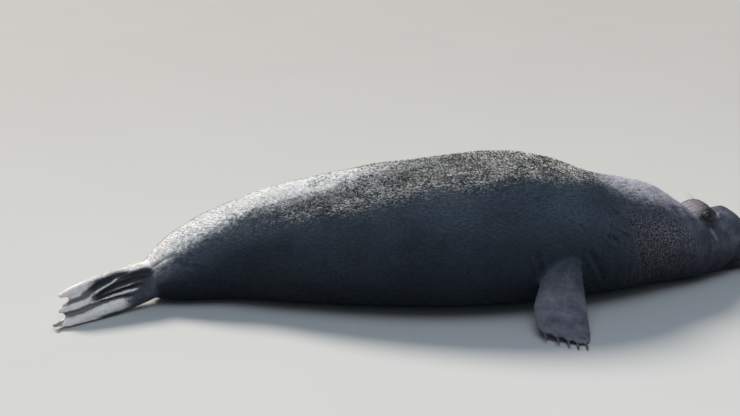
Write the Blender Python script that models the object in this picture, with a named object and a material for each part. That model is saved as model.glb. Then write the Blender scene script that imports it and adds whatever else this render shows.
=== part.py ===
"""Elephant seal bull resting on its belly, as a still life-size model.

The body is one long loft, modelled straight and then bent along a curve in plan, and is
parted by thin upright cuts into rump, abdomen, chest, neck and head. The trunk-like nose
is parted from the head by a slanted cut, and the lower jaw, the flippers, the tail stub,
the eyes and the claws are pieces of their own that meet what carries them face to face.

Metres, +Z up. The seal faces +X and lies on z = 0. The origin is under the middle of the
whole animal. Straight frame: s runs from the rear of the rump to the nose, side is
positive to the seal's left, z is height.
"""
import math

import bmesh
import bpy
import numpy as np
from mathutils import Matrix, Vector

# General sizes
GAP = 0.0003
CUT_CLEARANCE = 1.2 * GAP
SOCKET_CLEARANCE = 1.3 * GAP
COLLECTION_NAME = "elephant_seal"
CUTTER_DEPTH = 0.02
RING_POINTS = 40
BODY_STEP = 0.085
NECK_STEP = 0.045
HEAD_STEP = 0.021
JAW_STEP = 0.026
JAW_POINTS = 28
TAIL_POINTS = 16

# Plan curve of the spine: place along the spine and heading in degrees from +X
REAR_END = (-1.30, -0.309)
SPINE_HEADINGS = [
    (0.00, 34.0), (0.35, 23.0), (0.80, -3.0), (1.50, 0.0), (2.10, 14.0),
    (2.60, 16.5), (3.10, 12.0), (3.50, 17.0), (4.10, 21.0),
]

# Sections of the body: place, top (s, z), bottom (s, z), half width, height share of the
# widest line, roundness of the upper half and of the lower half (2 is an ellipse)
BODY_SECTIONS = [
    (0.00, (0.00, 0.225), (0.00, 0.075), 0.070, 0.50, 2.00, 2.0),
    (0.05, (0.05, 0.278), (0.05, 0.035), 0.125, 0.48, 2.00, 2.0),
    (0.12, (0.12, 0.335), (0.12, 0.005), 0.175, 0.46, 2.00, 2.1),
    (0.25, (0.25, 0.409), (0.25, -0.008), 0.240, 0.44, 2.00, 2.2),
    (0.45, (0.45, 0.491), (0.45, -0.015), 0.308, 0.43, 2.05, 2.3),
    (0.75, (0.75, 0.611), (0.75, -0.020), 0.388, 0.42, 2.10, 2.4),
    (1.15, (1.15, 0.709), (1.15, -0.020), 0.472, 0.42, 2.10, 2.5),
    (1.60, (1.60, 0.783), (1.60, -0.020), 0.545, 0.42, 2.10, 2.5),
    (2.05, (2.05, 0.809), (2.05, -0.020), 0.580, 0.42, 2.10, 2.5),
    (2.40, (2.40, 0.768), (2.40, -0.020), 0.562, 0.42, 2.10, 2.5),
    (2.75, (2.75, 0.638), (2.75, -0.018), 0.492, 0.43, 2.10, 2.5),
    (3.03, (3.03, 0.578), (3.03, -0.014), 0.404, 0.44, 2.10, 2.5),
    (3.13, (3.13, 0.540), (3.13, -0.014), 0.368, 0.44, 2.10, 2.5),
    (3.22, (3.22, 0.480), (3.22, -0.014), 0.334, 0.44, 2.05, 2.6),
    (3.30, (3.305, 0.425), (3.30, -0.014), 0.300, 0.44, 2.00, 2.7),
    (3.35, (3.358, 0.422), (3.345, -0.012), 0.272, 0.44, 1.95, 2.7),
    (3.385, (3.396, 0.438), (3.373, -0.012), 0.254, 0.44, 1.90, 2.7),
    (3.42, (3.431, 0.431), (3.403, -0.012), 0.236, 0.44, 1.95, 2.7),
    (3.45, (3.462, 0.404), (3.43, -0.010), 0.222, 0.43, 2.05, 2.6),
    (3.50, (3.515, 0.370), (3.475, -0.006), 0.202, 0.43, 2.20, 2.5),
    (3.55, (3.57, 0.376), (3.515, 0.006), 0.186, 0.42, 2.20, 2.4),
    (3.61, (3.635, 0.349), (3.56, 0.034), 0.172, 0.42, 2.20, 2.4),
    (3.67, (3.705, 0.302), (3.61, 0.054), 0.160, 0.43, 2.20, 2.4),
    (3.73, (3.770, 0.249), (3.655, 0.062), 0.150, 0.45, 2.20, 2.3),
    (3.79, (3.832, 0.192), (3.70, 0.052), 0.138, 0.48, 2.20, 2.2),
    (3.85, (3.882, 0.132), (3.74, 0.028), 0.121, 0.50, 2.10, 2.1),
    (3.90, (3.906, 0.078), (3.785, 0.008), 0.099, 0.50, 2.00, 2.0),
    (3.935, (3.900, 0.038), (3.822, -0.001), 0.068, 0.50, 2.00, 2.0),
    (3.955, (3.884, 0.016), (3.850, 0.001), 0.034, 0.50, 2.00, 2.0),
]
RUMP_END = 0.78
ABDOMEN_END = 1.72
CHEST_END = 2.76
NECK_END = 3.318

# Folds of skin round the body: place, depth, half length, share of the depth at the flank
FOLDS = [
    (3.318, 0.020, 0.022, 0.35), (3.235, 0.007, 0.020, 0.8), (3.160, 0.008, 0.024, 0.8),
    (3.070, 0.007, 0.026, 0.7), (2.970, 0.006, 0.030, 0.6), (3.660, 0.012, 0.016, 0.6),
    (3.735, 0.012, 0.016, 0.7), (3.808, 0.009, 0.014, 0.7),
]
# Swellings on both sides of the head: place, angle above the horizontal in degrees,
# height, half length, half breadth in degrees
SWELLINGS = [
    (3.430, 64.0, 0.012, 0.030, 15.0),
    (3.68, -14.0, 0.016, 0.045, 34.0),
    (3.48, -12.0, 0.012, 0.070, 32.0),
    (3.57, 90.0, 0.012, 0.026, 34.0),
]

# Cut between head and nose, in the straight frame
NOSE_CUT_TOP = (3.535, 0.40)
NOSE_CUT_BOTTOM = (3.720, 0.03)
NOSE_BLOCK_SIZE = 0.9

# Lower jaw: the same columns as the body's sections
JAW_SECTIONS = [
    (3.45, (3.45, 0.060), (3.45, 0.020), 0.060, 0.50, 2.0, 2.0),
    (3.48, (3.48, 0.090), (3.48, -0.002), 0.112, 0.60, 2.2, 2.4),
    (3.53, (3.53, 0.106), (3.53, -0.008), 0.140, 0.66, 2.4, 2.4),
    (3.60, (3.60, 0.104), (3.60, -0.008), 0.140, 0.68, 2.4, 2.3),
    (3.67, (3.67, 0.094), (3.67, -0.006), 0.122, 0.66, 2.4, 2.2),
    (3.72, (3.72, 0.082), (3.72, -0.002), 0.096, 0.62, 2.4, 2.1),
    (3.75, (3.75, 0.066), (3.75, 0.008), 0.060, 0.55, 2.2, 2.0),
]

# Eyes, lids, ear pits and nostrils, mirrored left and right
EYE_RADIUS = 0.037
EYE_PLACE = (3.405, 0.117, 0.365)
EYE_AXIS = (0.32, 0.82, 0.42)
LID_RADIUS = 0.0445
LID_OPENING = (0.0310, 0.0265, 0.0150)
LID_SLANT = math.radians(-14.0)
EAR_PLACE = (3.352, 0.241, 0.270)
EAR_RADIUS = 0.008
NOSTRIL_PLACE = (3.908, 0.046, 0.070)
NOSTRIL_RADII = (0.024, 0.023, 0.014)

# Tail stub
TAIL_ROOT = (0.06, 0.235)
TAIL_TIP = (-0.085, 0.185)
TAIL_HALF_WIDTH = 0.042
TAIL_HALF_HEIGHT = 0.026

# Fore flippers: place of the shoulder, sweep towards the rear, path as (out, z)
SHOULDER_S = 2.31
SHOULDER_SIDE = 0.50
FORE_SWEEP = math.radians(17.0)
FORE_PATH = [
    (-0.12, 0.350), (0.00, 0.330), (0.070, 0.266), (0.135, 0.175), (0.215, 0.098),
    (0.320, 0.046), (0.430, 0.015), (0.545, 0.003),
]
FORE_FRONT_EDGE = [(0.0, 0.092), (0.35, 0.120), (0.7, 0.138), (1.0, 0.120)]
FORE_REAR_EDGE = [(0.0, 0.090), (0.35, 0.125), (0.6, 0.172), (0.8, 0.165), (1.0, 0.118)]
FORE_THICKNESS = [(0.0, 0.125), (0.3, 0.092), (0.6, 0.058), (0.85, 0.040), (1.0, 0.022)]
DIGITS = 5
DIGIT_RIDGE = 0.22
FORE_ROWS = 15
FORE_COLUMNS = np.linspace(-1, 1, 21)
# Shortening of the margin towards the rear edge, between the digits and at the corners,
# each as share of the length and power
FORE_TAPER = (0.13, 1.6)
FORE_MARGIN_DIP = 0.050
FORE_CORNERS = (0.05, 6)
FORE_MARGIN_POWER = 2.2
# Thinning towards both edges and towards the margin, as share and power
FORE_EDGE_THINNING = (0.86, 3.5)
FORE_TIP_THINNING = (0.72, 9)
FORE_REAR_LIFT = 0.02

# Claws of the fore flippers
CLAW_LENGTH = 0.056
CLAW_RADIUS = 0.0090
CLAW_DROOP = 0.012
CLAW_ROOT_DEPTH = 0.012
CLAW_RINGS = 6
CLAW_POINTS = 8

# Hind flippers: ankle, direction in plan, lengths of the lobes
ANKLE_S = 0.07
HIND_HEADING = math.radians(38.0)
HIND_LOWER_LENGTH = 0.700
HIND_UPPER_LENGTH = 0.600
HIND_MIDDLE_LENGTH = 0.620
# Slits between the lobes and the rounded upper corner of the pad between them: place
# across, depth, half width
HIND_SLITS = [(0.46, 0.13, 0.06), (-0.36, 0.16, 0.06), (0.30, 0.045, 0.10)]
# Rounding of the outer corners: depth, where it starts, power
HIND_CORNERS = (0.15, 0.72, 2.4)
# Along the flipper, by share of its length: half span, height of its middle, lean of the
# middle away from upright and added lean of the lower edge in degrees, thickness
HIND_HALF_SPAN = [(0.0, 0.110), (0.25, 0.125), (0.45, 0.129), (0.7, 0.124), (1.0, 0.118)]
HIND_HEIGHT = [(0.0, 0.142), (0.25, 0.122), (0.45, 0.107), (0.7, 0.089), (1.0, 0.070)]
HIND_LEAN = [(0.0, 4.0), (0.4, 18.0), (1.0, 42.0)]
HIND_CURL = [(0.0, 4.0), (0.5, 18.0), (1.0, 26.0)]
HIND_THICKNESS = [(0.0, 0.100), (0.2, 0.080), (0.5, 0.050), (0.8, 0.036), (1.0, 0.022)]
HIND_EDGE_THINNING = (0.84, 4)
HIND_TIP_THINNING = (0.70, 10)
# The soles meet, but below the middle the left flipper stays straight and narrower
HIND_SOLE_GAP = 0.006
LEFT_LOWER_SPAN = 0.75
# Digits: place across, half width, height of the ridge
HIND_RIDGE = 0.40
HIND_DIGITS = [
    (0.80, 0.24, 1.0), (0.36, 0.09, 0.45), (0.08, 0.12, 0.60), (-0.18, 0.09, 0.50),
    (-0.70, 0.30, 1.0),
]
HIND_ROWS = 13
HIND_COLUMNS = (
    -1.0, -0.94, -0.85, -0.74, -0.62, -0.52, -0.44, -0.36, -0.28, -0.16, -0.05,
    0.05, 0.16, 0.27, 0.37, 0.46, 0.55, 0.66, 0.78, 0.88, 0.95, 1.0,
)

# Finishes: base colour, roughness
FINISHES = {
    "flank_hide": ((0.060, 0.066, 0.080), 0.62),
    "neck_hide": ((0.085, 0.070, 0.072), 0.66),
    "flipper_hide": ((0.105, 0.098, 0.104), 0.60),
    "eye_dark": ((0.010, 0.008, 0.008), 0.08),
    "claw_horn": ((0.045, 0.038, 0.034), 0.40),
}


def curve_through(knots, at):
    """Monotone cubic through (place, value) knots, without overshoot between them."""
    x = np.array([k[0] for k in knots], float)
    y = np.array([k[1] for k in knots], float)
    width = np.diff(x)
    slope = np.diff(y) / width
    tangent = np.zeros_like(y)
    tangent[0], tangent[-1] = slope[0], slope[-1]
    for i in range(1, len(x) - 1):
        if slope[i - 1] * slope[i] > 0:
            a = 2 * width[i] + width[i - 1]
            b = width[i] + 2 * width[i - 1]
            tangent[i] = (a + b) / (a / slope[i - 1] + b / slope[i])
    at = np.clip(np.asarray(at, float), x[0], x[-1])
    i = np.clip(np.searchsorted(x, at, side="right") - 1, 0, len(width) - 1)
    t = (at - x[i]) / width[i]
    return ((2 * t**3 - 3 * t**2 + 1) * y[i] + (t**3 - 2 * t**2 + t) * width[i] * tangent[i]
            + (3 * t**2 - 2 * t**3) * y[i + 1] + (t**3 - t**2) * width[i] * tangent[i + 1])


class Spine:
    """The plan curve that the straight body is bent along."""

    def __init__(self):
        self.s = np.linspace(-0.8, 4.2, 1001)
        self.angle = np.radians(curve_through(SPINE_HEADINGS, self.s))
        step = self.s[1] - self.s[0]
        middle = (self.angle[1:] + self.angle[:-1]) / 2
        self.x = np.concatenate([[0.0], np.cumsum(np.cos(middle) * step)])
        self.y = np.concatenate([[0.0], np.cumsum(np.sin(middle) * step)])
        self.x += REAR_END[0] - np.interp(0.0, self.s, self.x)
        self.y += REAR_END[1] - np.interp(0.0, self.s, self.y)

    def heading(self, s):
        return float(np.interp(s, self.s, self.angle))

    def bend(self, s, side, z):
        """Straight-frame point to its place in the bent animal."""
        angle = np.interp(s, self.s, self.angle)
        x = np.interp(s, self.s, self.x) - np.sin(angle) * side
        y = np.interp(s, self.s, self.y) + np.cos(angle) * side
        return np.stack([x, y, np.broadcast_to(z, np.shape(x))], axis=-1)

    def bend_point(self, point):
        return Vector(self.bend(*[np.float64(v) for v in point]))

    def bend_direction(self, s, direction):
        angle = self.heading(s)
        along, side, up = direction
        return Vector((
            math.cos(angle) * along - math.sin(angle) * side,
            math.sin(angle) * along + math.cos(angle) * side,
            up,
        )).normalized()


SPINE = Spine()


def section_ring(sections, place, folded=True, count=RING_POINTS):
    """Points of one section of a loft in the straight frame, one row each (s, side, z)."""
    def at(pick):
        return float(curve_through([(row[0], pick(row)) for row in sections], place))

    top = np.array([at(lambda r: r[1][0]), at(lambda r: r[1][1])])
    bottom = np.array([at(lambda r: r[2][0]), at(lambda r: r[2][1])])
    half_width = at(lambda r: r[3])
    widest = at(lambda r: r[4])
    angle = np.linspace(0, 2 * math.pi, count, endpoint=False)
    cosine, sine = np.cos(angle), np.sin(angle)
    power = 2 / np.where(sine > 0, at(lambda r: r[5]), at(lambda r: r[6]))
    side = half_width * np.sign(cosine) * np.abs(cosine) ** power
    rise = np.where(sine > 0, widest + (1 - widest) * np.abs(sine) ** power,
                    widest * (1 - np.abs(sine) ** power))
    s = bottom[0] + (top[0] - bottom[0]) * rise
    z = bottom[1] + (top[1] - bottom[1]) * rise
    points = np.stack([s, side, z], axis=-1)
    if folded:
        centre = np.array([
            bottom[0] + (top[0] - bottom[0]) * widest, 0.0,
            bottom[1] + (top[1] - bottom[1]) * widest,
        ])
        spoke = points - centre
        length = np.linalg.norm(spoke, axis=1, keepdims=True)
        points = centre + spoke * (1 + skin_offset(place, angle)[:, None] / length)
    points[:, 2] = np.maximum(points[:, 2], 0.0)
    return points


def skin_offset(place, angle):
    """How far folds and swellings move the skin out from the plain loft."""
    offset = np.zeros_like(angle)
    upness = np.clip(np.sin(angle) * 1.6 + 0.5, 0.0, 1.0)
    for fold_place, depth, half_length, flank_share in FOLDS:
        strength = flank_share + (1 - flank_share) * np.clip(np.sin(angle), 0, 1) ** 2
        along = (place - fold_place) / half_length
        offset -= depth * strength * upness * math.exp(-along**2)
    degrees = np.degrees(angle)
    degrees = np.where(degrees > 180, degrees - 360, degrees)
    for swell_place, height_angle, height, half_length, half_breadth in SWELLINGS:
        along = (place - swell_place) / half_length
        mirrored = 180 - height_angle if height_angle >= 0 else -180 - height_angle
        right = np.exp(-((degrees - height_angle) / half_breadth) ** 2)
        left = np.exp(-((degrees - mirrored) / half_breadth) ** 2)
        offset += height * np.maximum(right, left) * math.exp(-along**2)
    return offset


def places_between(start, end, step):
    count = max(2, int(round((end - start) / step)) + 1)
    return np.linspace(start, end, count)


def material(name):
    """The named finish as a Principled material."""
    if name in bpy.data.materials:
        return bpy.data.materials[name]
    colour, roughness = FINISHES[name]
    made = bpy.data.materials.new(name)
    made.use_nodes = True
    shader = made.node_tree.nodes["Principled BSDF"]
    shader.inputs["Base Color"].default_value = (*colour, 1.0)
    shader.inputs["Roughness"].default_value = roughness
    shader.inputs["Metallic"].default_value = 0.0
    made.diffuse_color = (*colour, 1.0)
    return made


def object_from(mesh, name, finish, collection):
    """New object for a mesh, shaded smooth, in a collection."""
    mesh.materials.clear()
    mesh.materials.append(material(finish))
    mesh.shade_smooth()
    made = bpy.data.objects.new(name, mesh)
    collection.objects.link(made)
    return made


def face_outwards(form):
    """Turn every face of a closed form outwards."""
    form.normal_update()
    bmesh.ops.recalc_face_normals(form, faces=form.faces)
    if form.calc_volume(signed=True) < 0:
        bmesh.ops.reverse_faces(form, faces=form.faces)


def loft(name, sections, places, finish, collection, folded=True, count=RING_POINTS):
    """Closed loft through the sections at the given places, with a fan over each end."""
    mesh = bpy.data.meshes.new(name)
    form = bmesh.new()
    rings = []
    for place in places:
        ring = section_ring(sections, place, folded, count)
        bent = SPINE.bend(ring[:, 0], ring[:, 1], ring[:, 2])
        rings.append([form.verts.new(point) for point in bent])
    for near, far in zip(rings, rings[1:]):
        for i in range(count):
            j = (i + 1) % count
            form.faces.new((near[i], near[j], far[j], far[i]))
    for ring in (rings[0], rings[-1]):
        middle = form.verts.new(sum((v.co for v in ring), Vector()) / count)
        for i in range(count):
            form.faces.new((ring[i], ring[(i + 1) % count], middle))
    bmesh.ops.remove_doubles(form, verts=form.verts, dist=0.00002)
    face_outwards(form)
    form.to_mesh(mesh)
    form.free()
    return object_from(mesh, name, finish, collection)


def plate(name, rows, across, place, finish, collection):
    """Closed fin from place(t, v, face): t runs root to margin, v across, face is 1 or -1."""
    columns = len(across)
    mesh = bpy.data.meshes.new(name)
    form = bmesh.new()
    faces = {}
    for face in (1, -1):
        faces[face] = [
            [form.verts.new(place(i / (rows - 1), float(v), face)) for v in across]
            for i in range(rows)
        ]
    for grid_points in faces.values():
        for i in range(rows - 1):
            for j in range(columns - 1):
                a, b = grid_points[i][j], grid_points[i][j + 1]
                c, d = grid_points[i + 1][j + 1], grid_points[i + 1][j]
                form.faces.new((a, b, c))
                form.faces.new((a, c, d))
    rim = [(0, j) for j in range(columns)]
    rim += [(i, columns - 1) for i in range(1, rows)]
    rim += [(rows - 1, j) for j in range(columns - 2, -1, -1)]
    rim += [(i, 0) for i in range(rows - 2, 0, -1)]
    for (i, j), (k, m) in zip(rim, rim[1:] + rim[:1]):
        form.faces.new((faces[1][i][j], faces[1][k][m], faces[-1][k][m], faces[-1][i][j]))
    face_outwards(form)
    form.to_mesh(mesh)
    form.free()
    return object_from(mesh, name, finish, collection)


def ellipsoid(name, centre, axes, radii, finish, collection, segments=20, rings=12):
    """Ellipsoid with its three radii along three unit axes."""
    mesh = bpy.data.meshes.new(name)
    form = bmesh.new()
    bmesh.ops.create_uvsphere(form, u_segments=segments, v_segments=rings, radius=1.0)
    for vert in form.verts:
        unit = vert.co.copy()
        vert.co = centre + sum((axis * (radius * part) for axis, radius, part
                                in zip(axes, radii, unit)), Vector())
    face_outwards(form)
    form.to_mesh(mesh)
    form.free()
    return object_from(mesh, name, finish, collection)


def swollen(source, name, distance, collection):
    """Copy of a solid, grown outwards by a distance and below the floor, to cut with."""
    mesh = source.data.copy()
    form = bmesh.new()
    form.from_mesh(mesh)
    form.normal_update()
    moves = [(vert, vert.normal.copy()) for vert in form.verts]
    for vert, normal in moves:
        on_floor = vert.co.z < distance
        vert.co += normal * distance
        if on_floor:
            vert.co.z = -CUTTER_DEPTH
    form.to_mesh(mesh)
    form.free()
    copy = bpy.data.objects.new(name, mesh)
    collection.objects.link(copy)
    return copy


def combine(target, tool, operation):
    """Boolean of the target with the tool, applied, keeping the largest closed surface."""
    modifier = target.modifiers.new(operation.lower(), "BOOLEAN")
    modifier.operation = operation
    modifier.object = tool
    modifier.solver = "EXACT"
    bpy.context.view_layer.update()
    evaluated = target.evaluated_get(bpy.context.evaluated_depsgraph_get())
    mesh = bpy.data.meshes.new_from_object(evaluated)
    target.modifiers.clear()
    old = target.data
    finish = old.materials[0]
    target.data = mesh
    bpy.data.meshes.remove(old)
    mesh.materials.clear()
    mesh.materials.append(finish)
    keep_largest_surface(mesh)
    mesh.shade_smooth()


def keep_largest_surface(mesh):
    """Drop every closed surface of the mesh but the largest."""
    form = bmesh.new()
    form.from_mesh(mesh)
    bmesh.ops.triangulate(form, faces=form.faces)
    unseen = set(form.faces)
    surfaces = []
    while unseen:
        stack = [unseen.pop()]
        surface = []
        while stack:
            face = stack.pop()
            surface.append(face)
            for edge in face.edges:
                for other in edge.link_faces:
                    if other in unseen:
                        unseen.remove(other)
                        stack.append(other)
        surfaces.append(surface)
    surfaces.sort(key=lambda faces: -sum(face.calc_area() for face in faces))
    scraps = [face for surface in surfaces[1:] for face in surface]
    if scraps:
        bmesh.ops.delete(form, geom=scraps, context="FACES")
    form.to_mesh(mesh)
    form.free()


def build_body(parts):
    """Rump, abdomen, chest and neck, each a length of the same loft."""
    half_gap = GAP / 2
    lengths = [
        ("rump", 0.0, RUMP_END, BODY_STEP, "flank_hide"),
        ("abdomen", RUMP_END, ABDOMEN_END, BODY_STEP, "flank_hide"),
        ("chest", ABDOMEN_END, CHEST_END, BODY_STEP, "flank_hide"),
        ("neck", CHEST_END, NECK_END, NECK_STEP, "neck_hide"),
    ]
    made = {}
    for name, start, end, step, finish in lengths:
        first = start if name == "rump" else start + half_gap
        places = places_between(first, end - half_gap, step)
        if name == "rump":
            places = np.concatenate([[0.0, 0.025, 0.05, 0.085], places[places > 0.1]])
        made[name] = loft(name, BODY_SECTIONS, places, finish, parts)
    return made


def build_head(parts, cutters):
    """Head with eye sockets and lids, nose with nostrils, lower jaw, and the eyes."""
    start = NECK_END + GAP / 2
    places = places_between(start, BODY_SECTIONS[-1][0], HEAD_STEP)
    head = loft("head", BODY_SECTIONS, places, "neck_hide", parts)
    jaw_places = places_between(JAW_SECTIONS[0][0], JAW_SECTIONS[-1][0], JAW_STEP)
    jaw = loft("lower_jaw", JAW_SECTIONS, jaw_places, "neck_hide", parts, folded=False,
               count=JAW_POINTS)
    combine(head, swollen(jaw, "jaw_room", CUT_CLEARANCE, cutters), "DIFFERENCE")

    for side, label in ((-1, "right"), (1, "left")):
        centre, axes = eye_frame(side)
        lid_radii = (LID_RADIUS, LID_RADIUS, LID_RADIUS)
        lids = ellipsoid("lids_" + label, centre, axes, lid_radii, "neck_hide", cutters)
        combine(head, lids, "UNION")
        opening_centre = centre + axes[2] * LID_RADIUS
        opening = ellipsoid("opening_" + label, opening_centre, axes, LID_OPENING,
                            "eye_dark", cutters)
        combine(head, opening, "DIFFERENCE")
        room = EYE_RADIUS + SOCKET_CLEARANCE
        socket = ellipsoid("socket_" + label, centre, axes, (room, room, room),
                           "eye_dark", cutters)
        combine(head, socket, "DIFFERENCE")
        eye_radii = (EYE_RADIUS, EYE_RADIUS, EYE_RADIUS)
        ellipsoid("eye_" + label, centre, axes, eye_radii, "eye_dark", parts)
        s, out, z = EAR_PLACE
        ear_centre = SPINE.bend_point((s, side * out, z))
        upright = (Vector((1, 0, 0)), Vector((0, 1, 0)), Vector((0, 0, 1)))
        ear = ellipsoid("ear_pit_" + label, ear_centre, upright, (EAR_RADIUS,) * 3,
                        "neck_hide", cutters, segments=10, rings=6)
        combine(head, ear, "DIFFERENCE")

    nose = bpy.data.objects.new("proboscis", head.data.copy())
    parts.objects.link(nose)
    combine(head, nose_block(cutters, "nose_side", 1), "DIFFERENCE")
    combine(nose, nose_block(cutters, "head_side", -1), "DIFFERENCE")
    for side, label in ((-1, "right"), (1, "left")):
        s, out, z = NOSTRIL_PLACE
        centre = SPINE.bend_point((s, side * out, z))
        along = SPINE.bend_direction(s, (0.92, side * 0.10, 0.38))
        across = SPINE.bend_direction(s, (0.0, 1.0, side * 0.35))
        up = along.cross(across).normalized()
        across = up.cross(along).normalized()
        nostril = ellipsoid("nostril_" + label, centre, (along, across, up), NOSTRIL_RADII,
                            "eye_dark", cutters, segments=14, rings=8)
        combine(nose, nostril, "DIFFERENCE")
    return {"head": head, "lower_jaw": jaw, "proboscis": nose}


def eye_frame(side):
    """Centre of an eye and its axes: along the lids, up, and outwards."""
    s, out, z = EYE_PLACE
    centre = SPINE.bend_point((s, side * out, z))
    along, outwards, up = EYE_AXIS
    axis = SPINE.bend_direction(s, (along, side * outwards, up))
    level = axis.cross(Vector((0, 0, 1))).normalized() * side
    lift = axis.cross(level).normalized()
    if lift.z < 0:
        lift = -lift
    slant = LID_SLANT
    lids_along = (level * math.cos(slant) + lift * math.sin(slant)).normalized()
    lids_up = (lift * math.cos(slant) - level * math.sin(slant)).normalized()
    return centre, (lids_along, lids_up, axis)


def nose_block(cutters, name, direction):
    """Large block over one side of the cut between head and nose, half a gap past it."""
    (top_s, top_z), (low_s, low_z) = NOSE_CUT_TOP, NOSE_CUT_BOTTOM
    down = Vector((low_s - top_s, 0.0, low_z - top_z)).normalized()
    forward = Vector((-down.z, 0.0, down.x))
    middle_s = (top_s + low_s) / 2
    middle_z = (top_z + low_z) / 2
    middle = SPINE.bend_point((middle_s, 0.0, middle_z))
    forward = SPINE.bend_direction(middle_s, forward) * direction
    side = SPINE.bend_direction(middle_s, (0.0, 1.0, 0.0))
    down = forward.cross(side).normalized()
    mesh = bpy.data.meshes.new(name)
    form = bmesh.new()
    bmesh.ops.create_cube(form, size=NOSE_BLOCK_SIZE)
    centre = middle + forward * (NOSE_BLOCK_SIZE / 2 - GAP / 2)
    for vert in form.verts:
        x, y, z = vert.co
        vert.co = centre + forward * x + side * y + down * z
    face_outwards(form)
    form.to_mesh(mesh)
    form.free()
    return object_from(mesh, name, "neck_hide", cutters)


def build_tail(parts, cutters, body):
    """Short flat tail stub between the hind flippers, on the end of the rump."""
    sections = []
    for share, size in ((0.0, 0.9), (0.35, 1.0), (0.7, 0.85), (0.92, 0.5), (1.0, 0.18)):
        s = TAIL_ROOT[0] + (TAIL_TIP[0] - TAIL_ROOT[0]) * share
        z = TAIL_ROOT[1] + (TAIL_TIP[1] - TAIL_ROOT[1]) * share
        half = TAIL_HALF_HEIGHT * size
        sections.append((share, (s, z + half), (s, z - half), TAIL_HALF_WIDTH * size,
                         0.5, 2.0, 2.0))
    places = (0.0, 0.2, 0.4, 0.6, 0.75, 0.88, 0.96, 1.0)
    tail = loft("tail", sections, places, "flank_hide", parts, folded=False,
                count=TAIL_POINTS)
    room = swollen(body["rump"], "rump_room_tail", CUT_CLEARANCE, cutters)
    combine(tail, room, "DIFFERENCE")
    return tail


def digit_ridge(v):
    """Relief over the digits: 1 on the middle of each digit and 0 between them."""
    return 0.5 - 0.5 * math.cos(math.pi * DIGITS * (v + 1))


def thinning(place_value, limits):
    """Share of the thickness left after thinning by (share, power) at a place."""
    share, power = limits
    return 1 - share * abs(place_value) ** power


def fore_flipper_place(side):
    """Placing function of one fore flipper: v is -1 at the rear edge, 1 at the front."""
    root = SPINE.bend_point((SHOULDER_S, side * SHOULDER_SIDE, 0.0))
    turn = SPINE.heading(SHOULDER_S) + side * (math.pi / 2 + FORE_SWEEP)
    out = Vector((math.cos(turn), math.sin(turn), 0.0))
    forward = Vector((0, 0, 1)).cross(out) * -side
    travel = [0.0]
    for (a, b), (c, d) in zip(FORE_PATH, FORE_PATH[1:]):
        travel.append(travel[-1] + math.hypot(c - a, d - b))
    total = travel[-1]
    outs = [(d / total, point[0]) for d, point in zip(travel, FORE_PATH)]
    heights = [(d / total, point[1]) for d, point in zip(travel, FORE_PATH)]

    def place(t, v, face):
        taper = FORE_TAPER[0] * ((1 - v) / 2) ** FORE_TAPER[1]
        dip = FORE_MARGIN_DIP * (1 - digit_ridge(v))
        corner = FORE_CORNERS[0] * abs(v) ** FORE_CORNERS[1]
        along = t * (1 - (taper + dip + corner) * t**FORE_MARGIN_POWER)
        edge = FORE_FRONT_EDGE if v > 0 else FORE_REAR_EDGE
        across = v * float(curve_through(edge, along))
        before, after = max(along - 0.01, 0.0), min(along + 0.01, 1.0)
        run = float(curve_through(outs, after) - curve_through(outs, before))
        rise = float(curve_through(heights, after) - curve_through(heights, before))
        normal = (out * -rise + Vector((0, 0, 1)) * run).normalized()
        half = float(curve_through(FORE_THICKNESS, along)) / 2
        rounding = thinning(v, FORE_EDGE_THINNING) * thinning(t, FORE_TIP_THINNING)
        ridge = 1.0
        if face > 0:
            ridge += DIGIT_RIDGE * (digit_ridge(v) - 0.5) * min(1.0, 1.6 * along)
        point = root + out * float(curve_through(outs, along)) + forward * across
        point.z = float(curve_through(heights, along)) + FORE_REAR_LIFT * (1 - v) * along
        point += normal * (face * half * rounding * ridge)
        point.z = max(point.z, 0.0)
        return point

    return place


def hind_reach(v):
    """Length of a hind flipper from ankle to margin: two long lobes round a shorter pad."""
    lobe = HIND_LOWER_LENGTH if v < 0 else HIND_UPPER_LENGTH
    outer = min(1.0, max(0.0, (abs(v) - 0.30) / 0.30))
    blend = outer * outer * (3 - 2 * outer)
    reach = HIND_MIDDLE_LENGTH + (lobe - HIND_MIDDLE_LENGTH) * blend
    for place, depth, half_width in HIND_SLITS:
        reach -= depth * math.exp(-((v - place) / half_width) ** 2)
    depth, start, power = HIND_CORNERS
    return reach - depth * max(0.0, (abs(v) - start) / (1 - start)) ** power


def hind_ridge(v):
    """Relief over the digits of a hind flipper: up to 1 on a digit and 0 between them."""
    return max(height * math.exp(-((v - place) / half_width) ** 2)
               for place, half_width, height in HIND_DIGITS)


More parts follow.
